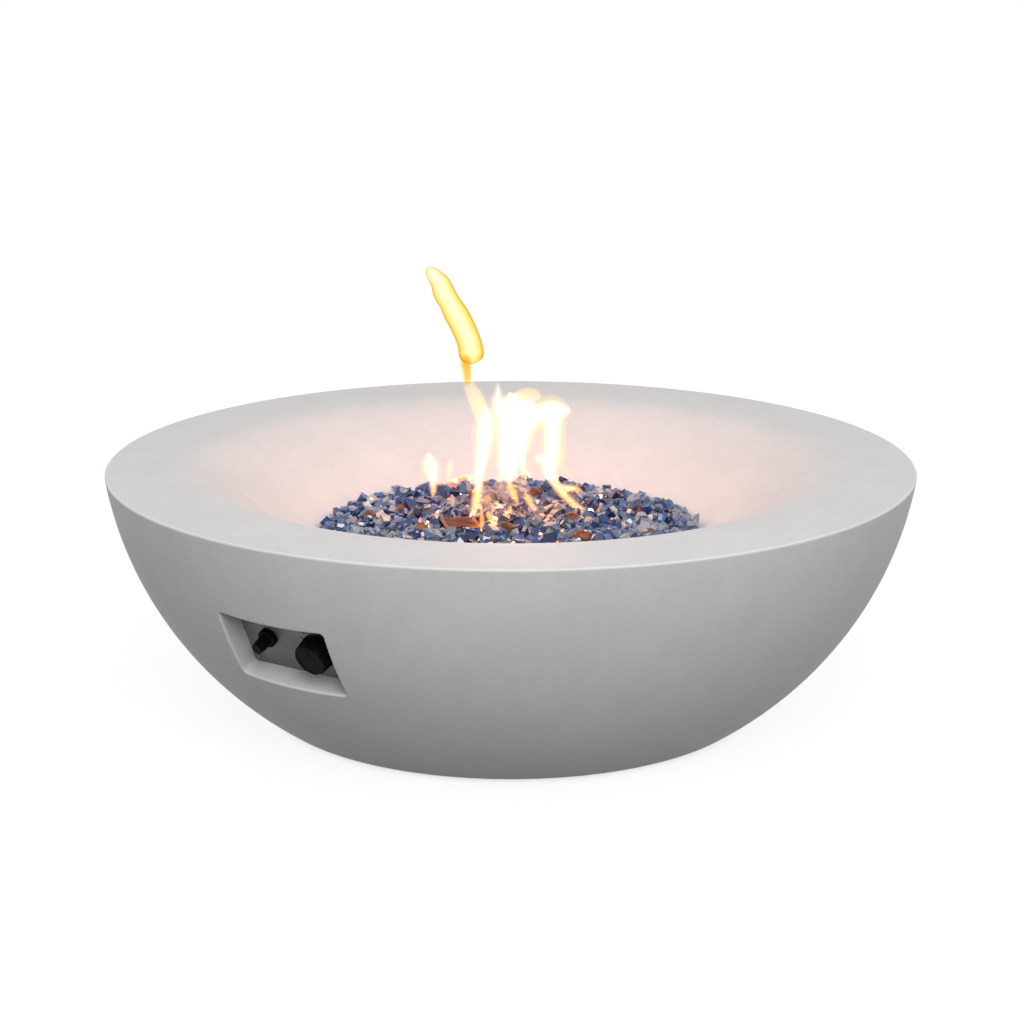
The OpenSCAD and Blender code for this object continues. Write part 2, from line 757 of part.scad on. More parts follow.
// Pilot parts
module pilot_guard() {
    inner_l = guard_l - 2 * guard_t;
    inner_w = guard_w - 2 * guard_t;
    height = guard_top - pan_floor;
    slot_margin = 5;
    side_margin = 4;
    window_from = 0.55;
    window_part = 0.3;
    slot_l = guard_l - 2 * slot_margin;
    pitch = (guard_w - 2 * side_margin) / guard_slots;
    color("rosybrown") at_pilot(pan_floor) difference() {
        translate([-guard_l / 2, -guard_w / 2, 0]) cube([guard_l, guard_w, height]);
        translate([-inner_l / 2, -inner_w / 2, -over]) cube([inner_l, inner_w, height - guard_t + over]);
        for (i = [0 : guard_slots - 1]) {
            y = (i - (guard_slots - 1) / 2) * pitch;
            translate([-slot_l / 2, y - guard_slot_w / 2, height - guard_t - over])
                cube([slot_l, guard_slot_w, guard_t + 2 * over]);
            translate([0, y - guard_slot_w / 2, height * window_from])
                cube([guard_l, guard_slot_w, height * window_part]);
        }
    }
}

module pilot_bracket() {
    color("silver") at_pilot(pan_floor) difference() {
        union() {
            translate([-bracket_l / 2, -bracket_w / 2, shelf_h - guard_t])
                cube([bracket_l, bracket_w, guard_t]);
            for (y = [-bracket_w / 2, bracket_w / 2 - guard_t])
                translate([-bracket_l / 2, y, 0]) cube([bracket_l, guard_t, shelf_h]);
        }
        translate([0, -pilot_pitch / 2, 0]) cylinder(d = ceramic_d + 2 * screwed, h = shelf_h + over);
        translate([0, pilot_pitch / 2, 0]) cylinder(d = probe_d + 2 * screwed, h = shelf_h + over);
    }
}

module electrode_ceramic() {
    color("white") at_pilot(pan_floor + shelf_h) translate([0, -pilot_pitch / 2, 0]) difference() {
        union() {
            translate([0, 0, -ceramic_down]) cylinder(d = ceramic_d, h = ceramic_down + ceramic_up);
            cylinder(d = ceramic_collar_d, h = ceramic_collar_h);
        }
        translate([0, 0, -ceramic_down - over])
            cylinder(d = rod_d + 2 * screwed, h = ceramic_down + ceramic_up + 2 * over);
    }
}

module electrode_rod() {
    color("dimgray") at_pilot(pan_floor + shelf_h) translate([0, -pilot_pitch / 2, -ceramic_down])
        cylinder(d = rod_d, h = ceramic_down + ceramic_up + rod_reach);
}

module thermocouple() {
    tip_d = probe_d - 1.2;
    flange_d = probe_d + 4;
    flange_h = 2;
    color("silver") at_pilot(pan_floor + shelf_h) translate([0, pilot_pitch / 2, 0]) {
        translate([0, 0, -ceramic_down]) cylinder(d = probe_d, h = ceramic_down + probe_len - tip_d);
        translate([0, 0, probe_len - tip_d]) cylinder(d = tip_d, h = tip_d);
        cylinder(d = flange_d, h = flange_h);
    }
}

module thermocouple_nut() {
    nut_z = pan_floor + shelf_h - guard_t - probe_nut_h;
    color("goldenrod") at_pilot(nut_z) translate([0, pilot_pitch / 2, 0]) difference() {
        hex(probe_nut_af, probe_nut_h);
        translate([0, 0, -over]) cylinder(d = probe_d + 2 * screwed, h = probe_nut_h + 2 * over);
    }
}

// Pilot leads: down through the pan's hole, then across to the back of the valve and the igniter
function pilot_point(y, z) = [pilot_r * cos(pilot_angle) - y * sin(pilot_angle),
    pilot_r * sin(pilot_angle) + y * cos(pilot_angle), z];
lead_top = pan_floor + shelf_h - ceramic_down;
lead_drop = 190;
lead_run = 50;
probe_end = panel_point([knob_at[0], knob_at[1], valve_rear - magnet_len]);
spark_end = panel_point([igniter_at[0], igniter_at[1], barrel_rear - end_cap_h - terminal_len]);
inward = panel_dir([0, 0, -1]);

module lead(from, to) {
    route = [from, from - [0, 0, lead_drop], to + lead_run * inward, to];
    tube_along(run(route, 36, lead_d), lead_d, 8, [1, 0, 0]);
}

module thermocouple_lead() {
    color("peru") lead(pilot_point(pilot_pitch / 2, lead_top), probe_end);
}

module spark_lead() {
    color("black") lead(pilot_point(-pilot_pitch / 2, lead_top), spark_end);
}

// Control panel
module control_panel() {
    color("darkgray") on_panel() translate([0, 0, -panel_t]) difference() {
        linear_extrude(panel_t) rounded_rect(panel_w, panel_h, recess_corner_r - panel_gap);
        translate([0, 0, -over]) {
            at_panel_screws() cylinder(d = screw_hole_d, h = panel_t + 2 * over);
            translate(knob_at) {
                cylinder(d = stem_hole_d, h = panel_t + 2 * over);
                at_valve_screws() cylinder(d = screw_hole_d, h = panel_t + 2 * over);
            }
            translate(igniter_at) cylinder(d = barrel_d + 2 * hole_gap, h = panel_t + 2 * over);
        }
    }
}

module pan_head_screw(grip) {
    rotate_extrude() intersection() {
        square([screw_head_d / 2, screw_head_h]);
        translate([0, -screw_head_d / 2]) circle(r = screw_head_d / 2 + screw_head_h);
    }
    translate([0, 0, -grip]) cylinder(d = screw_d, h = grip);
}

module panel_screws() {
    color("silver") on_panel() at_panel_screws() pan_head_screw(panel_t + panel_screw_grip);
}

module valve_screws() {
    color("silver") at_knob() at_valve_screws() pan_head_screw(panel_t + valve_flange_t - flat_gap);
}

// Gas valve
module gas_valve_body() {
    flange_corner_r = 5;
    color("darkgoldenrod") at_knob() difference() {
        union() {
            translate([0, 0, -panel_t - valve_flange_t]) linear_extrude(valve_flange_t)
                rounded_rect(valve_flange_w, valve_flange_h, flange_corner_r);
            translate([0, 0, valve_rear]) cylinder(d = valve_d, h = valve_len);
            translate([0, 0, valve_rear - magnet_len]) hex(magnet_d, magnet_len);
            translate([0, 0, valve_port_z]) {
                rotate([90, 0, 0]) cylinder(d = port_boss_d, h = port_boss_reach);
                rotate([0, 90, 0]) cylinder(d = port_boss_d, h = port_boss_reach);
            }
        }
        translate([0, 0, stem_rear - flat_gap]) cylinder(d = stem_d + 2 * running, h = -stem_rear);
        translate([0, 0, chamber_end]) cylinder(d = push_rod_d + 2 * running, h = stem_rear - chamber_end);
        at_valve_screws() translate([0, 0, -panel_t - valve_flange_t - over])
            cylinder(d = screw_d + 2 * screwed, h = valve_flange_t + 2 * over);
    }
}

module gas_inlet_fitting() {
    shoulder_d = inlet_d + 5;
    bore_d = inlet_d * 0.45;
    seat_d = inlet_d - 2;
    seat_end_d = seat_d - 1.2 * flare_len;
    color("goldenrod") at_knob() translate([0, -port_boss_reach, valve_port_z]) rotate([90, 0, 0])
        difference() {
            union() {
                hex(shoulder_d, inlet_shoulder_len);
                translate([0, 0, inlet_shoulder_len]) cylinder(d = inlet_d, h = inlet_len);
                translate([0, 0, inlet_shoulder_len + inlet_len])
                    cylinder(d1 = seat_d, d2 = seat_end_d, h = flare_len);
            }
            translate([0, 0, inlet_shoulder_len]) cylinder(d = bore_d, h = inlet_len + flare_len + over);
        }
}

module valve_spring() {
    color("lightgray") at_knob()
        coil_spring(valve_spring_d, spring_wire_d, chamber_end + flat_gap, push_rod_rear - flat_gap, 4);
}

module valve_push_rod() {
    color("goldenrod") at_knob() translate([0, 0, push_rod_rear]) cylinder(d = push_rod_d, h = push_rod_len);
}

module stem_section(grow) {
    intersection() {
        circle(d = stem_d + 2 * grow);
        translate([-stem_d, -stem_d - stem_flat]) square([2 * stem_d, 1.5 * stem_d + grow]);
    }
}

module valve_stem() {
    d_start = knob_gap;
    color("goldenrod") at_knob() {
        translate([0, 0, stem_rear]) cylinder(d = stem_d, h = d_start - stem_rear);
        translate([0, 0, d_start]) linear_extrude(stem_front - d_start) stem_section(0);
    }
}

module control_knob() {
    top_d = knob_d - 2 * knob_taper;
    face_edge = 2;
    dish_deep = 0.8;
    dish_edge = 2;
    dish_r = top_d / 2 - face_edge - dish_edge;
    pointer_w = 2.4;
    pointer_from = 2;
    inner_d = top_d - 2 * knob_wall;
    color("black") at_knob() translate([0, 0, knob_gap]) difference() {
        union() {
            rotate_extrude() difference() {
                polygon([[0, 0], [knob_d / 2, 0], [top_d / 2, knob_h - face_edge],
                    [top_d / 2 - face_edge, knob_h], [0, knob_h]]);
                translate([0, knob_h - dish_deep]) square([dish_r, dish_deep + over]);
            }
            translate([-pointer_w / 2, pointer_from, knob_h - dish_deep - over])
                cube([pointer_w, dish_r - pointer_from, dish_deep + over]);
        }
        difference() {
            translate([0, 0, -over]) cylinder(d = inner_d, h = knob_h - knob_roof + over);
            translate([0, 0, knob_boss_start]) cylinder(d = knob_boss_d, h = knob_h);
        }
        linear_extrude(stem_front - knob_gap + flat_gap) stem_section(screwed);
        for (i = [0 : knob_flutes - 1])
            rotate([0, 0, 360 * (i + 0.5) / knob_flutes])
                translate([knob_d / 2 + knob_flute_d / 2 - knob_flute_depth - knob_taper / 2, 0, knob_wall])
                    cylinder(d = knob_flute_d, h = knob_h, $fn = 24);
    }
}

// Igniter
module igniter_housing() {
    collar_round = 2;
    color("black") at_igniter() difference() {
        union() {
            cylinder(d = collar_d, h = collar_h - collar_round);
            translate([0, 0, collar_h - collar_round])
                cylinder(d1 = collar_d, d2 = collar_d - 2 * collar_round, h = collar_round);
            translate([0, 0, barrel_rear]) cylinder(d = barrel_d, h = -barrel_rear);
        }
        translate([0, 0, button_seat]) cylinder(d = button_bore_d, h = collar_h - button_seat + over);
        translate([0, 0, barrel_rear - over])
            cylinder(d = cell_bore_d, h = button_seat - barrel_rear + 2 * over);
    }
}

module igniter_nut() {
    color("silver") at_igniter() translate([0, 0, -panel_t - igniter_nut_h]) difference() {
        hex(igniter_nut_af, igniter_nut_h);
        translate([0, 0, -over]) cylinder(d = barrel_d + 2 * screwed, h = igniter_nut_h + 2 * over);
    }
}

module igniter_end_cap() {
    color("dimgray") at_igniter() translate([0, 0, barrel_rear - end_cap_h]) {
        cylinder(d = barrel_d, h = end_cap_h);
        translate([0, 0, -terminal_len]) cylinder(d = terminal_d, h = terminal_len);
    }
}

module battery_cell() {
    color("olive") at_igniter() {
        translate([0, 0, battery_rear]) cylinder(d = battery_d, h = battery_len - battery_nub_h);
        translate([0, 0, battery_top - battery_nub_h]) cylinder(d = battery_nub_d, h = battery_nub_h);
    }
}

module igniter_spring() {
    color("lightgray") at_igniter() coil_spring(button_spring_d, spring_wire_d, battery_top + flat_gap,
        button_skirt + button_socket_h - flat_gap, 5);
}

module igniter_button() {
    dome = 1.5;
    shoulder = button_reach - button_tip_h;
    color("black") at_igniter() difference() {
        union() {
            translate([0, 0, button_skirt]) cylinder(d = button_d, h = shoulder - button_skirt - dome);
            translate([0, 0, shoulder - dome]) cylinder(d1 = button_d, d2 = button_d - 2 * dome, h = dome);
            translate([0, 0, shoulder]) cylinder(d = button_tip_d, h = button_tip_h - dome);
            translate([0, 0, button_reach - dome])
                cylinder(d1 = button_tip_d, d2 = button_tip_d - 2 * dome, h = dome);
        }
        translate([0, 0, button_skirt - over]) cylinder(d = button_socket_d, h = button_socket_h + over);
    }
}

bowl_shell();
foot_pads();
burner_pan();
burner_ring();
burner_nipple();
burner_locknut();
air_mixer();
gas_orifice();
mixer_elbow();
supply_tube();
tube_nuts();
lava_rock_bed();
fire_glass_bed();
lava_stones();
pilot_guard();
pilot_bracket();
electrode_ceramic();
electrode_rod();
thermocouple();
thermocouple_nut();
thermocouple_lead();
spark_lead();
control_panel();
panel_screws();
gas_valve_body();
valve_screws();
gas_inlet_fitting();
valve_spring();
igniter_housing();
igniter_nut();
igniter_end_cap();
battery_cell();
igniter_spring();
valve_push_rod();
valve_stem();
control_knob();
igniter_button();
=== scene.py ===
"""Looks of a gas fire pit bowl, worked out round the packed CAD model and laid out as a Blender add-on."""
import math
from functools import partial
from types import SimpleNamespace

import bmesh
import bpy
import numpy as np
from bpy.props import FloatProperty, FloatVectorProperty, IntProperty, PointerProperty
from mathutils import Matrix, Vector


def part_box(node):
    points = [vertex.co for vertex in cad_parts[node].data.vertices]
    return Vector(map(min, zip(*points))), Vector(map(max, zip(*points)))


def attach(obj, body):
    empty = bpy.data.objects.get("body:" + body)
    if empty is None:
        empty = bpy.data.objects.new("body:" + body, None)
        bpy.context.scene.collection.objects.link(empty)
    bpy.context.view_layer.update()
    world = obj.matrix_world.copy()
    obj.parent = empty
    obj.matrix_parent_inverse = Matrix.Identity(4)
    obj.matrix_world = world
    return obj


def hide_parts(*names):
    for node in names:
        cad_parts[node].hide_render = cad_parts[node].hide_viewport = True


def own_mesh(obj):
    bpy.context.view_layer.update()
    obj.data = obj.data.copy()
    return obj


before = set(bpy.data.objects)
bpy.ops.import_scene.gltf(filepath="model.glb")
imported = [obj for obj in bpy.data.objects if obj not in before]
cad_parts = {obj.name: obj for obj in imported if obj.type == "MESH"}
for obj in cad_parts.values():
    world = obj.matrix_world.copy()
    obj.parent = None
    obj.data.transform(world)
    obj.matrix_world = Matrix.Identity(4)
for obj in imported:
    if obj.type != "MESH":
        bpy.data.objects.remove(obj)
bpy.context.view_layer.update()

bl_info = {
    "name": "Gas fire pit bowl",
    "version": (1, 0, 0),
    "blender": (4, 5, 0),
    "location": "View3D > Sidebar > Fire pit",
    "description": "Builds the cast bowl, its fire bed, its controls and the stage round the packed model",
    "category": "Object",
}

MM = 0.001
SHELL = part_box("bowl_shell")
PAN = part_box("burner_pan")
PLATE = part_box("control_panel")
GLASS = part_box("fire_glass_bed")
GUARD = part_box("pilot_guard")
# Where the flames stand, across the bowl
FIRE_FOOT = (-0.02, 0.035)

LengthProperty = partial(FloatProperty, unit="LENGTH")
AngleProperty = partial(FloatProperty, subtype="ANGLE")
ColourProperty = partial(FloatVectorProperty, subtype="COLOR")


def linear(code):
    """Linear red, green, blue and full alpha of an sRGB hex colour.

    c / 12.92 up to 0.04045, else ((c + 0.055) / 1.055) to the power 2.4."""
    srgb = np.array([int(code[k:k + 2], 16) for k in (1, 3, 5)]) / 255
    rgb = np.where(srgb <= 0.04045, srgb / 12.92, ((srgb + 0.055) / 1.055) ** 2.4)
    return (*rgb.tolist(), 1.0)


class BowlSizes(bpy.types.PropertyGroup):
    """Sizes of the cast bowl"""
    rim_d: LengthProperty(name="Rim", description="Outside diameter of the rim", default=2 * SHELL[1].x)
    base_d: LengthProperty(name="Base", description="Outside diameter of the base", default=658 * MM)
    top: LengthProperty(name="Rim height", description="Height of the rim above the floor",
                        default=SHELL[1].z)
    foot: LengthProperty(name="Base height", description="Height of the base above the floor",
                         default=SHELL[0].z)
    wall_arc: LengthProperty(name="Side curve", description="Radius of the side wall's curve",
                             default=475 * MM)
    wall_t: LengthProperty(name="Wall", description="Thickness of the cast wall and dish", default=16 * MM)
    rim_flat: LengthProperty(name="Rim flat", description="Width of the flat rim", default=97 * MM)
    lip_r: LengthProperty(name="Lip", description="Radius of the lip between rim and dish",
                          default=105 * MM)
    slope: AngleProperty(name="Dish slope", description="Slope of the dish below the lip",
                         default=math.radians(35))
    rim_edge: LengthProperty(name="Rim edge", description="Radius of the rim's outer edge", default=2 * MM)
    base_edge: LengthProperty(name="Base edge", description="Radius of the base's edge", default=4 * MM)
    seat_r: LengthProperty(name="Pan seat", description="Radius of the seat that takes the burner pan",
                           default=PAN[1].x + 2 * MM)
    seat_step: LengthProperty(name="Seat step", description="Depth of the pan's seat", default=3 * MM)
    seat_ledge: LengthProperty(name="Seat ledge", description="Width of the ledge under the pan's flange",
                               default=18 * MM)
    notch_w: LengthProperty(name="Hose notch width", description="Width of the hose notch at the back",
                            default=34 * MM)
    notch_h: LengthProperty(name="Hose notch height", description="Height of the hose notch at the back",
                            default=28 * MM)


class RecessSizes(bpy.types.PropertyGroup):
    """Sizes of the control recess and of the controls in it"""
    width: LengthProperty(name="Recess width", description="Width of the recess",
                          default=PLATE[1].x - PLATE[0].x + 1.2 * MM)
    height: LengthProperty(name="Recess height", description="Height of the recess along the panel",
                           default=97 * MM)
    corner: LengthProperty(name="Recess corner", description="Corner radius of the recess", default=5 * MM)
    tilt: AngleProperty(name="Panel tilt", description="Lean of the panel from upright",
                        default=math.radians(24))
    edge: LengthProperty(name="Recess edge", description="Radius of the soft edge round the recess",
                         default=3 * MM)
    wall: LengthProperty(name="Recess wall", description="Thickness of the cast box behind the wall",
                         default=13 * MM)
    ledge_w: LengthProperty(name="Ledge width", description="Width of the ledge behind the panel",
                            default=12 * MM)
    ledge_t: LengthProperty(name="Ledge", description="Thickness of the ledge behind the panel",
                            default=12 * MM)
    panel_t: LengthProperty(name="Panel", description="Thickness of the panel sheet", default=1.5 * MM)
    pitch: LengthProperty(name="Control pitch", description="Distance between knob and igniter",
                          default=80 * MM)
    drop: LengthProperty(name="Control drop", description="Controls below the panel's middle",
                         default=2 * MM)
    knob_d: LengthProperty(name="Knob", description="Diameter of the knob's skirt", default=46 * MM)
    knob_h: LengthProperty(name="Knob height", description="Height of the knob", default=21 * MM)
    knob_gap: LengthProperty(name="Knob gap", description="Gap between panel and knob", default=5.5 * MM)
    knob_lobes: IntProperty(name="Knob lobes", description="Number of finger grips round the knob",
                            default=8)
    button_d: LengthProperty(name="Button", description="Diameter of the igniter button", default=16 * MM)
    button_reach: LengthProperty(name="Button reach", description="Button's end above the panel",
                                 default=27 * MM)


class FireBedSizes(bpy.types.PropertyGroup):
    """Sizes of the fire glass and the stones on it"""
    glass_count: IntProperty(name="Glass pieces", description="Number of loose pieces of fire glass",
                             default=3000)
    glass_size: LengthProperty(name="Glass size", description="Mean width of a piece of fire glass",
                               default=14.5 * MM)
    glass_t: LengthProperty(name="Glass thickness", description="Mean thickness of a piece of fire glass",
                            default=9 * MM)
    edge_r: LengthProperty(name="Bed radius", description="Radius of the bed where it meets the dish",
                           default=GLASS[1].x)
    middle: LengthProperty(name="Bed height", description="Height of the bed in the middle",
                           default=246 * MM)
    crown: LengthProperty(name="Bed crown", description="Rise of the bed from its edge to its middle",
                          default=8 * MM)
    guard_l: LengthProperty(name="Guard length", description="Length of the pilot guard, along the radius",
                            default=48 * MM)
    guard_w: LengthProperty(name="Guard width", description="Width of the pilot guard, across the radius",
                            default=56 * MM)
    seed: IntProperty(name="Seed", description="Seed of the loose pieces", default=11)


class Finishes(bpy.types.PropertyGroup):
    """Colours of the finishes"""
    concrete: ColourProperty(name="Concrete", description="Sealed cast concrete, plain areas",
                             default=linear("#dbdbdb")[:3])
    concrete_dark: ColourProperty(name="Concrete, dark", description="Darker clouds in the concrete",
                                  default=linear("#d6d6d6")[:3])
    steel: ColourProperty(name="Stainless steel", description="Brushed stainless sheet",
                          default=linear("#7d7d7c")[:3])
    plastic: ColourProperty(name="Black plastic", description="Moulded knob and button",
                            default=linear("#0d0e10")[:3])
    glass_dark: ColourProperty(name="Dark fire glass", description="Darkest pieces of fire glass",
                               default=linear("#1c2747")[:3])
    glass_pale: ColourProperty(name="Pale fire glass", description="Palest pieces of fire glass",
                               default=linear("#e8e4dc")[:3])
    lava: ColourProperty(name="Lava stone", description="Dark lava stone", default=linear("#5a3826")[:3])
    flame: ColourProperty(name="Firelight", description="Colour of the light from the flames",
                          default=linear("#ffb8a2")[:3])


class StageSizes(bpy.types.PropertyGroup):
    """Camera and light of the stage"""
    azimuth: AngleProperty(name="Camera turn", description="Camera's turn to the right of the controls",
                           default=math.radians(34.2))
    distance: LengthProperty(name="Camera distance", description="Level distance from the bowl's axis",
                             default=3.0)
    camera_z: LengthProperty(name="Camera height", description="Height of the camera", default=1.0367)
    pitch: AngleProperty(name="Camera pitch", description="Camera's look downwards", default=0.254)
    lens: FloatProperty(name="Lens", description="Focal length on a 36 mm sensor", default=81.42)
    shift: FloatProperty(name="Shift", description="Sideways shift of the camera", default=0.00123)
    sky_low: FloatProperty(name="Low sky", description="Strength of the studio light at the horizon",
                           default=0.28)
    sky_high: FloatProperty(name="High sky", description="Strength of the studio light overhead",
                            default=0.81)
    key: FloatProperty(name="Key", description="Power of the large front lamp", default=75.0, unit="POWER")
    fire: FloatProperty(name="Fire", description="Power of the light from the flames",
                        default=1.65, unit="POWER")
    floor_r: LengthProperty(name="Floor", description="Radius of the floor", default=14.0)


GROUPS = {"fire_pit_bowl": BowlSizes, "fire_pit_recess": RecessSizes, "fire_pit_bed": FireBedSizes,
          "fire_pit_finish": Finishes, "fire_pit_stage": StageSizes}


def group(name):
    """One group of sizes of the scene."""
    return getattr(bpy.context.scene, "fire_pit_" + name)


# Meshes: points and faces come as whole arrays

def stretch(start, end, steps):
    """Points on a straight line without its end: start + (end - start) t."""
    t = np.linspace(0, 1, steps, endpoint=False)[:, None]
    return np.asarray(start, float) + (np.asarray(end, float) - np.asarray(start, float)) * t


def bend(centre, radius, start, end, steps):
    """Points on an arc without its end: centre + radius (cos a, sin a)."""
    turn = np.linspace(start, end, steps, endpoint=False)
    return np.asarray(centre) + radius * np.stack([np.cos(turn), np.sin(turn)], axis=1)


def grid_quads(rows, cols, ring):
    """Quads of a grid of rows by cols points, closed across the columns, and across the rows for a ring."""
    i, j = np.meshgrid(np.arange(rows if ring else rows - 1), np.arange(cols), indexing="ij")
    below, beside = (i + 1) % rows, (j + 1) % cols
    return np.stack([i * cols + j, i * cols + beside, below * cols + beside, below * cols + j],
                    axis=-1).reshape(-1, 4)


def turned(r, z, turn):
    """A section carried round Z: (r cos a, r sin a, z), for columns or whole grids of r and z."""
    grid = np.broadcast_arrays(r * np.cos(turn), r * np.sin(turn), z)
    return np.stack(grid, axis=-1).reshape(-1, 3)


def repeat_faces(one, count, step):
    """The faces of one shape for count shapes in a row, each with step points."""
    return (one[None] + np.arange(count)[:, None, None] * step).reshape(-1, one.shape[1])


def merge_doubles(mesh):
    """Merges points in the same place, so poles and seams close."""
    shape = bmesh.new()
    shape.from_mesh(mesh)
    bmesh.ops.remove_doubles(shape, verts=shape.verts, dist=1e-6)
    shape.to_mesh(mesh)
    shape.free()


def add_mesh(name, mesh, material, crease=None):
    """A new object for the mesh, shaded smooth up to the crease's angle in degrees, or flat without one."""
    if crease is not None:
        mesh.polygons.foreach_set("use_smooth", np.ones(len(mesh.polygons), bool))
        mesh.set_sharp_from_angle(angle=math.radians(crease))
    mesh.materials.clear()
    mesh.materials.append(material)
    piece = bpy.data.objects.new(name, mesh)
    bpy.context.scene.collection.objects.link(piece)
    return piece


def add_piece(name, points, faces, material, crease=None, merge=False):
    """Puts points and faces into a new object."""
    mesh = bpy.data.meshes.new(name)
    faces = faces.tolist() if isinstance(faces, np.ndarray) else faces
    mesh.from_pydata(np.asarray(points).reshape(-1, 3).tolist(), [], faces)
    if merge:
        merge_doubles(mesh)
    return add_mesh(name, mesh, material, crease)


def add_values(piece, name, domain, values):
    """A plain number for each point or face, for the material to read."""
    layer = piece.data.attributes.new(name, "FLOAT", domain)
    layer.data.foreach_set("value", np.ascontiguousarray(values, np.float32))


def place(piece, body, slot, *nodes):
    """The piece rides on a body and stands for the CAD nodes named, which are hidden; slot is not used."""
    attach(piece, body)
    if nodes:
        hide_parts(*nodes)


def dress(material, *names):
    """Gives CAD nodes a finish."""
    for name in names:
        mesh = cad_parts[name].data
        mesh.materials.clear()
        mesh.materials.append(material)


def smooth_copy(name, node_name, material, body, slot):
    """The CAD node's own mesh, merged and shaded smooth, for round tubes and wires made of flats."""
    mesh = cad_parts[node_name].data.copy()
    mesh.name = name
    merge_doubles(mesh)
    piece = add_mesh(name, mesh, material, crease=70)
    place(piece, body, slot, node_name)
    return piece


def mesh_points(mesh):
    """All points of a mesh."""
    spots = np.empty(len(mesh.vertices) * 3, np.float32)
    mesh.vertices.foreach_get("co", spots)
    return spots.reshape(-1, 3)


def shorten(coil):
    """Gives the coil a mesh of its own; how far its points reach out of the panel is worked out but not
    used.
    """
    out = panel_frame(group("recess"))[1][2]
    reach = mesh_points(coil.data).astype(float) @ out
    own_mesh(coil)


# Materials

# Settings of a Mix node: one colour over another, or a colour times a number
BLEND = {"data_type": "RGBA"}
TIMES = {"data_type": "RGBA", "blend_type": "MULTIPLY"}


def feed(made, inputs):
    """Feeds a node's inputs, by name or in their order: values are set, outputs are linked.

    A node given as an input stands for the first of its outputs that is in use."""
    for key, value in inputs.items() if isinstance(inputs, dict) else enumerate(inputs):
        if isinstance(value, bpy.types.Node):
            value = next(out for out in value.outputs if out.enabled)
        if isinstance(value, bpy.types.NodeSocket):
            made.id_data.links.new(value, made.inputs[key])
        else:
            made.inputs[key].default_value = value


def node(tree, kind, inputs=(), **settings):
    """Adds one node with its settings and its inputs."""
    made = tree.nodes.new("ShaderNode" + kind)
    for key, value in settings.items():
        setattr(made, key, value)
    feed(made, inputs)
    return made


def new_material(name):
    """A material with its tree and its surface shader."""
    material = bpy.data.materials.new(name)
    material.use_nodes = True
    return material, material.node_tree, material.node_tree.nodes["Principled BSDF"]


def new_surface(name):
    """A material with its tree, its surface shader and its Object coordinates."""
    material, tree, shader = new_material(name)
    return material, tree, shader, node(tree, "TexCoord").outputs["Object"]


def per(mm):
    """Scale of a pattern whose features are that many millimetres apart."""
    return 1 / (mm * MM)


def rgba(colour):
    """A colour property with full alpha."""
    return (*colour, 1.0)


def cast_concrete(finish):
    """Glass-fibre concrete, cast in a smooth mould and sealed."""
    # Pale, with the sealer's low sheen: cloudy tone 40 to 90 mm across, faint run marks, sand speckle,
    # pinholes darkened with painted shade, and edges paled for wear and a painted highlight
    material, tree, shader, spot = new_surface("sealed_cast_concrete")
    clouds = node(tree, "TexNoise", {"Vector": spot, "Scale": per(70), "Detail": 5.0, "Roughness": 0.62})
    cloud = node(tree, "MapRange", [clouds, 0.36, 0.66])
    tone = node(tree, "Mix", {0: cloud, 6: rgba(finish.concrete_dark), 7: rgba(finish.concrete)}, **BLEND)
    tall = node(tree, "Mapping", {"Vector": spot, "Scale": (per(14), per(14), per(160))})
    runs = node(tree, "TexNoise", {"Vector": tall, "Scale": 1.0, "Detail": 3.0})
    run = node(tree, "MapRange", [runs, 0.3, 0.7, 0.985, 1.012])
    # Sand is about 0.5 mm; it is drawn at 2.4 mm so that it shows
    sand = node(tree, "TexNoise", {"Vector": spot, "Scale": per(2.4), "Detail": 2.0})
    speck = node(tree, "MapRange", [sand, 0.25, 0.75, 0.972, 1.028])
    # Pinholes of 1 to 2 mm, one in about 26 mm, where the air stayed in the mould, darkened with painted
    # shade
    holes = node(tree, "TexVoronoi", {"Vector": spot, "Scale": per(26)})
    size = node(tree, "MapRange", [clouds, 0.42, 0.62, 0.0, 0.04])
    deep = node(tree, "Math", [holes, size], operation="LESS_THAN")
    pinhole_shade = node(tree, "MapRange", [deep, 0.0, 1.0, 1.0, 0.84])
    shade = node(tree, "Math", [run, speck], operation="MULTIPLY")
    shade = node(tree, "Math", [shade, pinhole_shade], operation="MULTIPLY")
    # Edges paled towards near white: partly wear, partly a painted highlight
    worn_and_highlit = node(tree, "Attribute", attribute_name="edge_wear_and_highlight").outputs["Fac"]
    edge = node(tree, "Mix", {0: worn_and_highlit, 6: tone, 7: linear("#efeeec")}, **BLEND)
    colour = node(tree, "Mix", {0: 1.0, 6: edge, 7: shade}, **TIMES)
    matte = node(tree, "MapRange", [sand, 0.3, 0.7, 0.5, 0.68])
    sunk = node(tree, "Math", [deep, -2.0, sand], operation="MULTIPLY_ADD")
    relief = node(tree, "Bump", {"Strength": 0.35, "Distance": 0.3 * MM, "Height": sunk})
    feed(shader, {"Base Color": colour, "Roughness": matte, "Normal": relief, "IOR": 1.45})
    return material


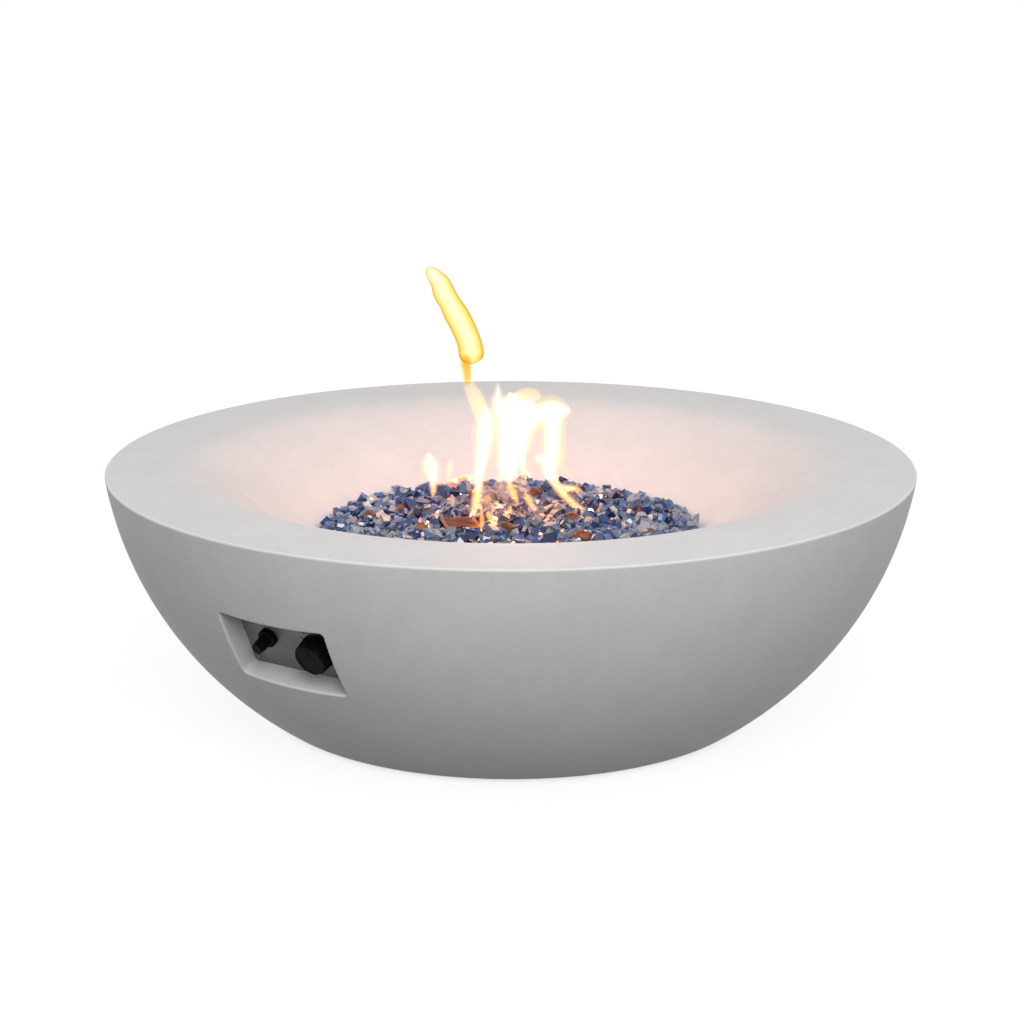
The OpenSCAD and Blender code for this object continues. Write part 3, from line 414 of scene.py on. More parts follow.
def metal(name, colour, rough, stretched, mottle, dull, bare=1.0):
    """A metal: its colour and roughness, the spacing of its tool marks along x, y and z in millimetres, the
    size in millimetres and the tint of its dull clouds, and how free of dust it is, up to 1."""
    material, tree, shader, spot = new_surface(name)
    lines = node(tree, "Mapping", {"Vector": spot, "Scale": tuple(per(s) for s in stretched)})
    marks = node(tree, "TexNoise", {"Vector": lines, "Scale": 1.0, "Detail": 4.0, "Roughness": 0.65})
    clouds = node(tree, "TexNoise", {"Vector": spot, "Scale": per(mottle), "Detail": 4.0})
    spread = node(tree, "MapRange", [clouds, 0.4, 0.7])
    tone = node(tree, "Mix", {0: spread, 6: colour, 7: dull}, **BLEND)
    streak = node(tree, "MapRange", [marks, 0.25, 0.75, 0.82, 1.1])
    shaded = node(tree, "Mix", {0: 1.0, 6: tone, 7: streak}, **TIMES)
    gloss = node(tree, "MapRange", [marks, 0.25, 0.75, rough - 0.08, rough + 0.1])
    relief = node(tree, "Bump", {"Strength": 0.12, "Distance": 0.05 * MM, "Height": marks})
    feed(shader, {"Base Color": shaded, "Roughness": gloss, "Normal": relief, "Metallic": bare})
    return material


def moulded(name, colour, rough, grain, relief_mm, ior, shine=0.5):
    """A moulded or fired surface: even colour, fine grain in its gloss, handling marks 22 mm apart."""
    material, tree, shader, spot = new_surface(name)
    fine = node(tree, "TexNoise", {"Vector": spot, "Scale": per(grain), "Detail": 3.0})
    hands = node(tree, "TexNoise", {"Vector": spot, "Scale": per(22), "Detail": 3.0})
    tint = node(tree, "MapRange", [hands, 0.3, 0.7, 0.85, 1.2])
    shaded = node(tree, "Mix", {0: 1.0, 6: colour, 7: tint}, **TIMES)
    gloss = node(tree, "MapRange", [hands, 0.3, 0.7, rough - 0.07, rough + 0.07])
    relief = node(tree, "Bump", {"Strength": 0.3, "Distance": relief_mm * MM, "Height": fine})
    feed(shader, {"Base Color": shaded, "Roughness": gloss, "Normal": relief, "IOR": ior,
                  "Specular IOR Level": shine})
    return material


def lava_stone(finish):
    """Tumbled lava rock, full of gas pores."""
    # Dull brown black, with rusty patches and 2 to 5 mm pores darkened with painted shade
    material, tree, shader, spot = new_surface("tumbled_lava_rock")
    patches = node(tree, "TexNoise", {"Vector": spot, "Scale": per(14), "Detail": 5.0})
    patch = node(tree, "MapRange", [patches, 0.4, 0.65])
    tone = node(tree, "Mix", {0: patch, 6: rgba(finish.lava), 7: linear("#9a5f40")}, **BLEND)
    pores = node(tree, "TexVoronoi", {"Vector": spot, "Scale": per(4)})
    pore_shade_and_depth = node(tree, "MapRange", [pores, 0.1, 0.45, 0.35, 1.0])
    colour = node(tree, "Mix", {0: 1.0, 6: tone, 7: pore_shade_and_depth}, **TIMES)
    relief = node(tree, "Bump", {"Strength": 0.9, "Distance": 1.2 * MM, "Height": pore_shade_and_depth})
    feed(shader, {"Base Color": colour, "Normal": relief, "Roughness": 0.9})
    return material


def fire_glass(finish):
    """Tempered reflective fire glass, broken into chunks, mirrored on one face."""
    # Clear bright breaks over dark slate blue, and mirrored faces that flash white
    material, tree, shader, spot = new_surface("reflective_fire_glass")
    tint = node(tree, "Attribute", attribute_name="glass_tint").outputs["Fac"]
    mirror = node(tree, "Attribute", attribute_name="mirror_face").outputs["Fac"]
    flaws = node(tree, "TexNoise", {"Vector": spot, "Scale": per(6), "Detail": 3.0})
    blue = node(tree, "ValToRGB", [tint])
    stops = blue.color_ramp.elements
    stops[0].color, stops[1].color = rgba(finish.glass_dark), rgba(finish.glass_pale)
    for stop, code in ((0.25, "#2f4d90"), (0.5, "#5f83c2"), (0.75, "#9dabc2")):
        stops.new(stop).color = linear(code)
    vein = node(tree, "MapRange", [flaws, 0.3, 0.7, 0.75, 1.2])
    colour = node(tree, "Mix", {0: 1.0, 6: blue, 7: vein}, **TIMES)
    # Soot where the flames lick the glass: from 40 mm to 170 mm round their foot, in 25 mm patches
    level = node(tree, "VectorMath", [spot, (1, 1, 0), (-FIRE_FOOT[0], -FIRE_FOOT[1], 0)],
                 operation="MULTIPLY_ADD")
    from_foot = node(tree, "VectorMath", [level], operation="LENGTH")
    near = node(tree, "MapRange", [from_foot, 40 * MM, 170 * MM, 0.75, 0.0])
    patches = node(tree, "TexNoise", {"Vector": spot, "Scale": per(25), "Detail": 2.0})
    patch = node(tree, "MapRange", [patches, 0.35, 0.65])
    soot = node(tree, "Math", [near, patch], operation="MULTIPLY")
    sooty = node(tree, "Mix", {0: soot, 6: colour, 7: linear("#6b5545")}, **BLEND)
    coated = node(tree, "Mix", {0: mirror, 6: sooty, 7: linear("#dfe4ee")}, **BLEND)
    gloss = node(tree, "MapRange", [flaws, 0.3, 0.7, 0.04, 0.16])
    relief = node(tree, "Bump", {"Strength": 0.25, "Distance": 0.4 * MM, "Height": flaws})
    feed(shader, {"Base Color": coated, "Metallic": mirror, "Roughness": gloss, "Normal": relief,
                  "IOR": 1.52, "Transmission Weight": 0.45})
    return material


def flame_gas(name, soak, glow):
    """Burning gas as a thin volume that soaks up some light and gives off its own, both per metre."""
    # No surface: colour builds up with depth, so edges stay soft from every side
    material, tree, shader = new_material(name)
    tree.nodes.remove(shader)
    gas = node(tree, "Emission", {"Color": rgba(np.array(glow) / max(glow)), "Strength": max(glow)})
    if max(soak) > 0:
        taken = node(tree, "VolumeAbsorption", {"Color": rgba(1 - np.array(soak) / max(soak)),
                                                "Density": max(soak)})
        gas = node(tree, "AddShader", [taken, gas])
    feed(tree.nodes["Material Output"], {"Volume": gas})
    return material


# Bowl

def bowl_lines(bowl):
    """Centres and heights of the bowl's section; the side is an arc through the edges of rim and base."""
    rim_r, base_r = bowl.rim_d / 2, bowl.base_d / 2
    chord = np.array([rim_r - base_r, bowl.top - bowl.foot])
    length = np.hypot(*chord)
    reach = math.sqrt(bowl.wall_arc ** 2 - (length / 2) ** 2)
    wall_c = np.array([(rim_r + base_r) / 2 - reach * chord[1] / length,
                       (bowl.top + bowl.foot) / 2 + reach * chord[0] / length])

    def wall_r(z, radius):
        return wall_c[0] + np.sqrt(radius ** 2 - (wall_c[1] - z) ** 2)

    def edge_c(z, edge):
        return np.array([wall_r(z, bowl.wall_arc - edge), z])

    rim_c = edge_c(bowl.top - bowl.rim_edge, bowl.rim_edge)
    base_c = edge_c(bowl.foot + bowl.base_edge, bowl.base_edge)
    lip_c = np.array([rim_r - bowl.rim_flat, bowl.top - bowl.lip_r])
    slope_dir = np.array([-math.sin(bowl.slope), math.cos(bowl.slope)])
    lip_end = lip_c + bowl.lip_r * slope_dir
    lip_under = lip_c + (bowl.lip_r - bowl.wall_t) * slope_dir
    grade = math.tan(bowl.slope)

    def dish_z(r):
        return lip_end[1] - (lip_end[0] - r) * grade

    ledge_z = dish_z(bowl.seat_r) - bowl.seat_step
    under_z = ledge_z - bowl.wall_t
    return SimpleNamespace(
        wall_c=wall_c, wall_r=wall_r, dish_z=dish_z, rim_c=rim_c, base_c=base_c, lip_c=lip_c,
        lip_end=lip_end, lip_under=lip_under, ledge_z=ledge_z, under_z=under_z,
        under_r=lip_under[0] - (lip_under[1] - under_z) / grade,
        rim_a=math.atan2(*(rim_c - wall_c)[::-1]), base_a=math.atan2(*(base_c - wall_c)[::-1]))


def panel_frame(recess):
    """Middle of the panel's face and its axes: across, up the panel, and out of it."""
    lean = recess.tilt
    axes = np.array([[1, 0, 0], [0, -math.sin(lean), math.cos(lean)],
                     [0, -math.cos(lean), -math.sin(lean)]])
    middle = (np.array(PLATE[0]) + np.array(PLATE[1])) / 2 + axes[2] * recess.panel_t / 2
    return middle, axes


def rounded_outline(width, height, corner, counts):
    """Rounded rectangle, anticlockwise from the middle of its lower left corner.

    Each side is half a corner's arc, a straight run, and half the next corner's arc."""
    half = np.array([width, height]) / 2 - corner
    corners = half * np.array([[-1, -1], [1, -1], [1, 1], [-1, 1]])
    outline = []
    for side in range(4):
        here, there = corners[side], corners[(side + 1) % 4]
        facing = (side - 1) * math.pi / 2
        edge = corner * np.array([math.cos(facing), math.sin(facing)])
        outline += [bend(here, corner, facing - math.pi / 4, facing, counts[2] // 2),
                    stretch(here + edge, there + edge, counts[side % 2]),
                    bend(there, corner, facing, facing + math.pi / 4, counts[2] // 2)]
    return np.concatenate(outline)


def block_rim(rows, cols, width):
    """Numbers of the points round a block of the grid, anticlockwise from its lower left corner."""
    return np.concatenate([rows[0] * width + cols[:-1], rows[:-1] * width + cols[-1],
                           rows[-1] * width + cols[:0:-1], rows[:0:-1] * width + cols[0]])


def bowl_shape(bowl, recess):
    """The cast bowl as one closed skin: points, faces and how far each point's edge is paled, for wear and
    a painted highlight.

    A closed section (r, z) is turned about Z: (r cos a, r sin a, z). Its lowest part is pushed up over the
    hose notch's arch at the back. A block of the outer and of the inner wall is left out at the front, and
    rings of points join the two: over the wall to the recess's outline, round its soft edge, down its
    walls, over the panel's ledge, through the window, round the cast box and onto the inner wall."""
    lines = bowl_lines(bowl)
    middle, axes = panel_frame(recess)
    radius, inner = bowl.wall_arc, bowl.wall_arc - bowl.wall_t
    # Points along the recess's width, its height and each corner
    counts = (24, 14, 8)
    cols, rows = counts[0] + counts[2], counts[1] + counts[2]
    outer_margin, inner_margin, near = 13 * MM, 10 * MM, 4 * MM
    # How far each edge is paled towards near white: the rim's and the recess's for wear and a painted
    # highlight, the base's just paler
    rim_wear_and_highlight, base_edge_paling, recess_wear_and_highlight = 0.6, 0.3, 0.45

    def to_world(local):
        return middle + local @ axes

    def lift(flat, reach):
        """Height over the panel at which a line square to it meets the wall, by repeated correction."""
        height = np.zeros(len(flat))
        for _ in range(40):
            spot = to_world(np.column_stack([flat, height]))
            height -= np.hypot(np.hypot(spot[:, 0], spot[:, 1]) - lines.wall_c[0],
                               spot[:, 2] - lines.wall_c[1]) - reach
        return np.column_stack([flat, height])

    def wall_turns(margin, reach):
        """Angles on the wall's arc at a margin below and above the recess."""
        tall = recess.height / 2 + margin
        ends = to_world(lift(np.array([[0, -tall], [0, tall]]), reach))
        return np.arcsin((ends[:, 2] - lines.wall_c[1]) / reach)

    low, high = wall_turns(recess.edge + outer_margin, radius)
    low_in, high_in = wall_turns(recess.wall + inner_margin, inner)
    top, roof = bowl.top, bowl.top - bowl.wall_t
    well_r = bowl.seat_r - bowl.seat_ledge
    quarter = math.pi / 2
    inner_foot = lines.wall_r(bowl.foot, inner)
    sections = [
        stretch((inner_foot, bowl.foot), (lines.base_c[0], bowl.foot), 6),
        bend(lines.base_c, bowl.base_edge, -quarter, lines.base_a, 6),
        bend(lines.wall_c, radius, lines.base_a, low, 12),
        bend(lines.wall_c, radius, low, high, rows),
        bend(lines.wall_c, radius, high, lines.rim_a - near / radius, 12),
        bend(lines.wall_c, radius, lines.rim_a - near / radius, lines.rim_a, 3),
        bend(lines.rim_c, bowl.rim_edge, lines.rim_a, quarter, 6),
        stretch((lines.rim_c[0], top), (lines.rim_c[0] - near, top), 3),
        stretch((lines.rim_c[0] - near, top), (lines.lip_c[0], top), 8),
        bend(lines.lip_c, bowl.lip_r, quarter, quarter + bowl.slope, 14),
        stretch(lines.lip_end, (bowl.seat_r, lines.dish_z(bowl.seat_r)), 14),
        stretch((bowl.seat_r, lines.dish_z(bowl.seat_r)), (bowl.seat_r, lines.ledge_z), 2),
        stretch((bowl.seat_r, lines.ledge_z), (well_r, lines.ledge_z), 2),
        stretch((well_r, lines.ledge_z), (well_r, lines.under_z), 2),
        stretch((well_r, lines.under_z), (lines.under_r, lines.under_z), 2),
        stretch((lines.under_r, lines.under_z), lines.lip_under, 8),
        bend(lines.lip_c, bowl.lip_r - bowl.wall_t, quarter + bowl.slope, quarter, 8),
        stretch((lines.lip_c[0], roof), (lines.wall_r(roof, inner), roof), 3),
        bend(lines.wall_c, inner, math.asin((roof - lines.wall_c[1]) / inner), high_in, 6),
        bend(lines.wall_c, inner, high_in, low_in, rows),
        bend(lines.wall_c, inner, low_in, math.asin((bowl.foot - lines.wall_c[1]) / inner), 12)]
    # First points of the sections that are cut or have paled edges, and of the sections after them
    starts = np.cumsum([0] + [len(s) for s in sections])
    (base_a, base_b), (outer_a, outer_b), (rim_a, rim_b), (inner_a, inner_b) = (
        starts[k:k + 2] for k in (1, 3, 6, 19))
    section = np.concatenate(sections)
    wear_and_highlight_row = np.zeros(len(section))
    wear_and_highlight_row[rim_a:rim_b + 1] = rim_wear_and_highlight
    wear_and_highlight_row[base_a:base_b + 1] = base_edge_paling

    half_span, notch_span = math.radians(13), math.radians(6)
    front, back = -quarter, quarter
    bounds = (front - half_span, front + half_span, back - notch_span, back + notch_span,
              front - half_span + 2 * math.pi)
    turn = np.concatenate([np.linspace(a, b, steps, endpoint=False)
                           for a, b, steps in zip(bounds, bounds[1:], (cols, 80, 48, 80))])
    width = len(turn)
    r = np.repeat(section[:, :1], width, axis=1)
    z = np.repeat(section[:, 1:], width, axis=1)

    aside = (inner_foot + bowl.base_d / 2) / 2 * np.sin(turn - back)
    arch_r = bowl.notch_w / 2
    in_notch = (np.abs(aside) < arch_r) & (np.sin(turn) > 0)
    arch = bowl.foot + bowl.notch_h - arch_r + np.sqrt(np.maximum(arch_r ** 2 - aside ** 2, 0))
    sill = np.where(in_notch, arch, bowl.foot)[None, :]
    pushed_top = 60 * MM
    pushed = sill + (z - bowl.foot) * (pushed_top - sill) / (pushed_top - bowl.foot)
    pushed = np.where(z < pushed_top, pushed, z)
    lower = np.minimum(z, pushed_top)
    r = r + np.where(z < pushed_top, lines.wall_r(pushed, radius) - lines.wall_r(lower, radius), 0)
    points = turned(r, pushed, turn)
    wear_and_highlight = np.repeat(wear_and_highlight_row, width)

    cut = np.zeros((len(section), width), bool)
    cut[outer_a:outer_b, :cols] = cut[inner_a:inner_b, :cols] = True
    quads = grid_quads(len(section), width, ring=True)[~cut.ravel()]
    outer_loop = block_rim(np.arange(outer_a, outer_b + 1), np.arange(cols + 1), width)
    inner_loop = block_rim(np.arange(inner_b, inner_a - 1, -1), np.arange(cols + 1), width)

    def grown(by):
        return rounded_outline(recess.width + 2 * by, recess.height + 2 * by, recess.corner + by, counts)

    def at_height(flat, height):
        return np.column_stack([flat, np.full(len(flat), height)])

    outer_flat = ((points[outer_loop] - middle) @ axes.T)[:, :2]
    inner_flat = ((points[inner_loop] - middle) @ axes.T)[:, :2]
    back_z = -recess.panel_t - recess.ledge_t
    rings, worn_and_highlit = [], []
    for t in (0.3, 0.55, 0.75, 0.88, 1.0):
        rings.append(lift(outer_flat + (grown(recess.edge) - outer_flat) * t, radius))
        worn_and_highlit.append(0.0)
    for rounded in np.linspace(0, quarter, 7)[1:]:
        ring = lift(grown(recess.edge * (1 - math.sin(rounded))), radius)
        ring[:, 2] -= recess.edge * (1 - math.cos(rounded))
        rings.append(ring)
        # Wear and a painted highlight, strongest midway round the recess's soft edge
        worn_and_highlit.append(recess_wear_and_highlight * math.sin(rounded * 2))
    mouth = rings[-1]
    for t in (0.1, 0.4, 0.7, 1.0):
        wall = mouth.copy()
        wall[:, 2] += (-recess.panel_t - wall[:, 2]) * t
        rings.append(wall)
        worn_and_highlit.append(0.0)
    window_corner = 4 * MM
    window = rounded_outline(recess.width - 2 * recess.ledge_w, recess.height - 2 * recess.ledge_w,
                             window_corner, counts)
    box = grown(recess.wall)
    rings += [at_height(window, -recess.panel_t), at_height(window, back_z), at_height(box, back_z)]
    rings += [lift(box + (inner_flat - box) * t, inner) for t in (0.0, 0.3, 0.6, 0.85)]
    worn_and_highlit += [0.0] * (len(rings) - len(worn_and_highlit))

    size = len(outer_loop)
    first = len(points)
    loops = [outer_loop] + [first + k * size + np.arange(size) for k in range(len(rings))] + [inner_loop]
    skin = [np.stack([a, np.roll(a, -1), np.roll(b, -1), b], axis=1) for a, b in zip(loops, loops[1:])]
    points = np.concatenate([points] + [to_world(ring) for ring in rings])
    wear_and_highlight = np.concatenate([wear_and_highlight] + [np.full(size, w) for w in worn_and_highlit])
    return points, np.concatenate([quads] + skin), wear_and_highlight


# Fire bed

def bed_height(r, bed, lines):
    """Top of the fire glass: crowned in the middle, and never lower than just over the dish."""
    feather, cover = 14 * MM, 4 * MM
    crowned = bed.middle - bed.crown * (r / (bed.edge_r - feather)) ** 2
    return np.maximum(crowned, lines.dish_z(r) + cover)


def random_turns(draw, count):
    """Random rotation matrices from unit quaternions."""
    w, x, y, z = draw.normal(size=(4, count))
    size = np.sqrt(w * w + x * x + y * y + z * z)
    w, x, y, z = w / size, x / size, y / size, z / size
    return np.stack([1 - 2 * (y * y + z * z), 2 * (x * y - z * w), 2 * (x * z + y * w),
                     2 * (x * y + z * w), 1 - 2 * (x * x + z * z), 2 * (y * z - x * w),
                     2 * (x * z - y * w), 2 * (y * z + x * w), 1 - 2 * (x * x + y * y)],
                    axis=-1).reshape(count, 3, 3)


def glass_bed_shape(bed, bowl):
    """A low mound in the darkest glass tint, as painted shade between the chunks, with loose chunks of
    glass on it: points, faces, tints and mirrored faces.

    The mound is a section turned about Z. A chunk is a prism of five corners with a random outline, two
    leaning caps and a random turn. The chunks lie on the bed's top in a spiral, where chunk k of n has
    r = R sqrt(k / n) and a = k pi (3 - sqrt 5), each moved a little at random."""
    lines = bowl_lines(bowl)
    draw = np.random.default_rng(bed.seed)
    sunk, inset, thin = 7 * MM, 3 * MM, 0.5 * MM
    radii = np.linspace(0, bed.edge_r - inset, 24)
    under = np.maximum(lines.dish_z(radii), lines.dish_z(bowl.seat_r)) + thin
    top = np.maximum(bed_height(radii, bed, lines) - sunk, lines.dish_z(radii) + 2 * thin)
    section = np.concatenate([np.column_stack([radii, np.append(under[:-1], top[-1] - thin)]),
                              np.column_stack([radii[::-1], top[::-1]])])
    turn = np.linspace(0, 2 * math.pi, 72, endpoint=False)
    mound = turned(section[:, :1], section[:, 1:], turn)
    mound_faces = grid_quads(len(section), len(turn), ring=False)

    count = bed.glass_count
    spot = np.arange(count) + 0.5
    r = bed.edge_r * np.sqrt(spot / count) + draw.normal(0, 1.5 * MM, count)
    a = spot * math.pi * (3 - math.sqrt(5)) + draw.normal(0, 0.01, count)
    size = bed.glass_size * draw.uniform(0.65, 1.3, count)
    thick = bed.glass_t * draw.uniform(0.7, 1.3, count)
    z = bed_height(r, bed, lines) - draw.uniform(-1, 8, count) * MM
    # A few larger pieces stand proud of the rest, and none sinks into the dish
    proud_share, proud_growth, clear_of_dish = 0.08, 1.25, 0.32
    proud = draw.uniform(size=count) < proud_share
    z = z + proud * draw.uniform(2, 8, count) * MM
    size = np.where(proud, proud_growth * size, size)
    z = np.maximum(z, lines.dish_z(r) + clear_of_dish * size)
    centre = np.stack([r * np.cos(a), r * np.sin(a), z], axis=-1)
    # The guard stands square to the bowl's radius through its middle
    guard = (np.array(GUARD[0]) + np.array(GUARD[1]))[:2] / 2
    outward = guard / np.linalg.norm(guard)
    off = centre[:, :2] - guard
    from_guard = np.abs(np.stack([off @ outward, off @ [-outward[1], outward[0]]], axis=1))
    overlap = 0.3
    keep = ~np.all(from_guard < np.array([bed.guard_l, bed.guard_w]) / 2 + overlap * size[:, None], axis=1)

    corners = 5
    step = 2 * math.pi / corners
    angle = (np.arange(corners) + draw.uniform(-0.3, 0.3, (count, corners))) * step
    wide = size[:, None] / 2 * draw.uniform(0.7, 1.15, (count, corners))
    narrow = wide * draw.uniform(0.75, 1.0, (count, corners))
    lean = draw.uniform(-0.35, 0.35, (4, count, 1))
    flat = np.stack([wide * np.cos(angle), wide * np.sin(angle)], axis=-1)
    twist = angle + 0.2
    upper = np.stack([narrow * np.cos(twist), narrow * np.sin(twist)], axis=-1)
    half = thick[:, None] / 2
    floor_z = -half + lean[0] * flat[..., 0] + lean[1] * flat[..., 1]
    roof_z = half + lean[2] * upper[..., 0] + lean[3] * upper[..., 1]
    chunk = np.concatenate([np.dstack([flat, floor_z]), np.dstack([upper, roof_z])], axis=1)
    chunk = np.einsum("nij,nkj->nki", random_turns(draw, count), chunk) + centre[:, None, :]
    tint = draw.beta(1.5, 1.5, count)
    mirror_share = 0.2
    coated = draw.uniform(size=count) < mirror_share
    chunk, tint, coated = chunk[keep], tint[keep], coated[keep]
    first = len(mound) + np.arange(len(chunk))[:, None] * 2 * corners
    k = np.arange(corners)
    side = np.stack([k, (k + 1) % corners, (k + 1) % corners + corners, k + corners], axis=1)
    sides = (first[:, :, None] + side[None]).reshape(-1, 4)
    faces = (mound_faces.tolist() + sides.tolist() + (first + k[::-1]).tolist()
             + (first + corners + k).tolist())
    # The mound takes the darkest tint, as painted shade in the gaps between the chunks; it has no mirrored
    # faces
    plain = np.zeros(len(mound_faces))
    tints = np.concatenate([plain, np.repeat(tint, corners), tint, tint])
    tints = np.clip(tints + draw.normal(0, 0.1, len(tints)), 0, 1)
    mirrored = np.concatenate([plain, np.zeros(len(sides)), np.zeros(len(chunk)), coated])
    return np.concatenate([mound, chunk.reshape(-1, 3)]), faces, tints, mirrored


def stone_boxes(node_name):
    """Lowest and highest corner of each loose stone of the CAD node.

    Every point starts with its own number, and touching triangles share their lowest until none change."""
    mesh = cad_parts[node_name].data
    ends = np.empty(len(mesh.loops), np.int32)
    mesh.loops.foreach_get("vertex_index", ends)
    spots, same = np.unique(np.round(mesh_points(mesh), 6), axis=0, return_inverse=True)
    sides = same.ravel()[ends].reshape(-1, 3)
    label = np.arange(len(spots))
    for _ in range(len(spots)):
        lowest = np.repeat(label[sides].min(axis=1)[:, None], 3, axis=1)
        spread = label.copy()
        np.minimum.at(spread, sides, lowest)
        if np.array_equal(spread, label):
            break
        label = spread
    return [(spots[label == k].min(axis=0), spots[label == k].max(axis=0)) for k in np.unique(label)]


def stones_shape(boxes, draw):
    """Lumpy stones on two-parameter grids: direction d(u, v) times the box's half sizes times a radius.

    The radius is a little under 1 plus waves h sin(w d + p) in random directions, the finer ones lower."""
    mean_radius = 0.98
    rows, cols = 22, 36
    u = np.linspace(-math.pi / 2, math.pi / 2, rows)
    v = np.linspace(0, 2 * math.pi, cols, endpoint=False)
    way = np.stack([np.cos(u)[:, None] * np.cos(v), np.cos(u)[:, None] * np.sin(v),
                    np.repeat(np.sin(u)[:, None], cols, axis=1)], axis=-1).reshape(-1, 3)
    low, high = np.array([b[0] for b in boxes]), np.array([b[1] for b in boxes])
    count = len(boxes)
    waves = 9
    wave = draw.normal(size=(count, waves, 3)) * np.linspace(1.5, 7, waves)[None, :, None]
    phase = draw.uniform(0, 2 * math.pi, (count, waves, 1))
    height = np.linspace(0.07, 0.025, waves)[None, :, None]
    radius = mean_radius + (height * np.sin(wave @ way.T + phase)).sum(axis=1)
    points = way[None] * radius[..., None] * ((high - low) / 2)[:, None] + ((high + low) / 2)[:, None]
    return points, repeat_faces(grid_quads(rows, cols, ring=False), count, rows * cols)


# Controls

def control_frame(recess, side):
    """Place on the panel of the knob, at side 1, or of the igniter, at side -1, and the panel's axes."""
    middle, axes = panel_frame(recess)
    return middle + np.array([side * recess.pitch / 2, -recess.drop, 0]) @ axes, axes


def knob_shape(recess):
    """The knob: a turned section whose side is scooped by round finger grips, with a raised pointer.

    The grip's edge at an angle d from its middle is c cos d - sqrt(q^2 - c^2 sin^2 d), for a grip of radius
    q at a distance c, and blends with the side as a soft minimum."""
    middle, axes = control_frame(recess, 1)
    skirt_r, gap, top = recess.knob_d / 2, recess.knob_gap, recess.knob_gap + recess.knob_h
    skirt_h, taper, round_r, roof, wall = 2.5 * MM, 1.5 * MM, 2.2 * MM, 4 * MM, 2.5 * MM
    edge, step_in, step_up, border, dish = 0.5 * MM, 0.2 * MM, 0.8 * MM, 1.8 * MM, 0.8 * MM
    face_r = skirt_r - taper
    inner_r = face_r - wall
    dish_r = face_r - round_r - border
    section = np.concatenate([
        stretch((0, top - roof), (inner_r, top - roof), 3),
        stretch((inner_r, top - roof), (inner_r, gap), 3),
        stretch((inner_r, gap), (skirt_r - edge, gap), 2),
        bend((skirt_r - edge, gap + edge), edge, -math.pi / 2, 0, 4),
        stretch((skirt_r, gap + edge), (skirt_r, gap + skirt_h), 3),
        stretch((skirt_r, gap + skirt_h), (skirt_r - step_in, gap + skirt_h + step_up), 4),
        stretch((skirt_r - step_in, gap + skirt_h + step_up), (face_r, top - round_r), 16),
        bend((face_r - round_r, top - round_r), round_r, 0, math.pi / 2, 8),
        stretch((face_r - round_r, top), (dish_r + dish, top), 3),
        stretch((dish_r + dish, top), (dish_r, top - dish), 3),
        stretch((dish_r, top - dish), (0, top - dish), 30), [(0, top - dish)]])
    sides = 288
    turn = np.linspace(0, 2 * math.pi, sides, endpoint=False)
    r = np.repeat(section[:, :1], sides, axis=1)
    z = np.repeat(section[:, 1:], sides, axis=1)
    grip_r, grip_deep = 10 * MM, 2.3 * MM
    far = skirt_r + grip_r - grip_deep - taper / 2
    between = 2 * math.pi / recess.knob_lobes
    off = (turn % between) - between / 2
    inside = grip_r ** 2 - (far * np.sin(off)) ** 2
    scoop = np.where(inside > 0, far * np.cos(off) - np.sqrt(np.maximum(inside, 0)), 2 * skirt_r)
    soft = 0.25 * MM
    scooped = -soft * np.logaddexp(-r / soft, -scoop[None] / soft)
    r = np.where((z > gap + skirt_h) & (r > inner_r + 0.1 * MM), scooped, r)
    x, y = r * np.cos(turn), r * np.sin(turn)
    rib_half, rib_start, rib_flank, rib_end, rib_low = 1.3 * MM, 2 * MM, 0.35 * MM, 0.4 * MM, 0.05 * MM
    rib = np.clip((rib_half - np.abs(x)) / rib_flank, 0, 1) * np.clip((y - rib_start) / rib_end, 0, 1)
    rib = rib * (z > top - roof + 1 * MM) * (r < dish_r + dish)
    z = z + rib * (top - rib_low - z)
    points = middle + np.stack([x, y, z], axis=-1).reshape(-1, 3) @ axes
    return points, grid_quads(len(section), sides, ring=False)


def button_shape(recess):
    """The igniter button: a turned section with rounded shoulders and a shallow hollow for the thumb."""
    middle, axes = control_frame(recess, -1)
    r, reach = recess.button_d / 2, recess.button_reach
    skirt, socket_r, socket_h, tip_r, tip_h = -0.5 * MM, 5.5 * MM, 10 * MM, 7.1 * MM, 7 * MM
    edge, soft, fillet, hollow = 1.5 * MM, 0.35 * MM, 0.5 * MM, 22 * MM
    shoulder = reach - tip_h
    hollow_r = math.hypot(tip_r - edge, hollow)
    quarter = math.pi / 2
    section = np.concatenate([
        stretch((0, skirt + socket_h), (socket_r, skirt + socket_h), 3),
        stretch((socket_r, skirt + socket_h), (socket_r, skirt), 3),
        stretch((socket_r, skirt), (r, skirt), 2), stretch((r, skirt), (r, shoulder - soft), 8),
        bend((r - soft, shoulder - soft), soft, 0, quarter, 6),
        stretch((r - soft, shoulder), (tip_r + fillet, shoulder), 2),
        bend((tip_r + fillet, shoulder + fillet), fillet, -quarter, -2 * quarter, 4),
        stretch((tip_r, shoulder + fillet), (tip_r, reach - edge), 4),
        bend((tip_r - edge, reach - edge), edge, 0, quarter, 6),
        bend((0, reach + hollow), hollow_r, math.atan2(-hollow, tip_r - edge), -quarter, 6),
        [(0, reach + hollow - hollow_r)]])
    turn = np.linspace(0, 2 * math.pi, 64, endpoint=False)
    points = middle + turned(section[:, :1], section[:, 1:], turn) @ axes
    return points, grid_quads(len(section), len(turn), ring=False)


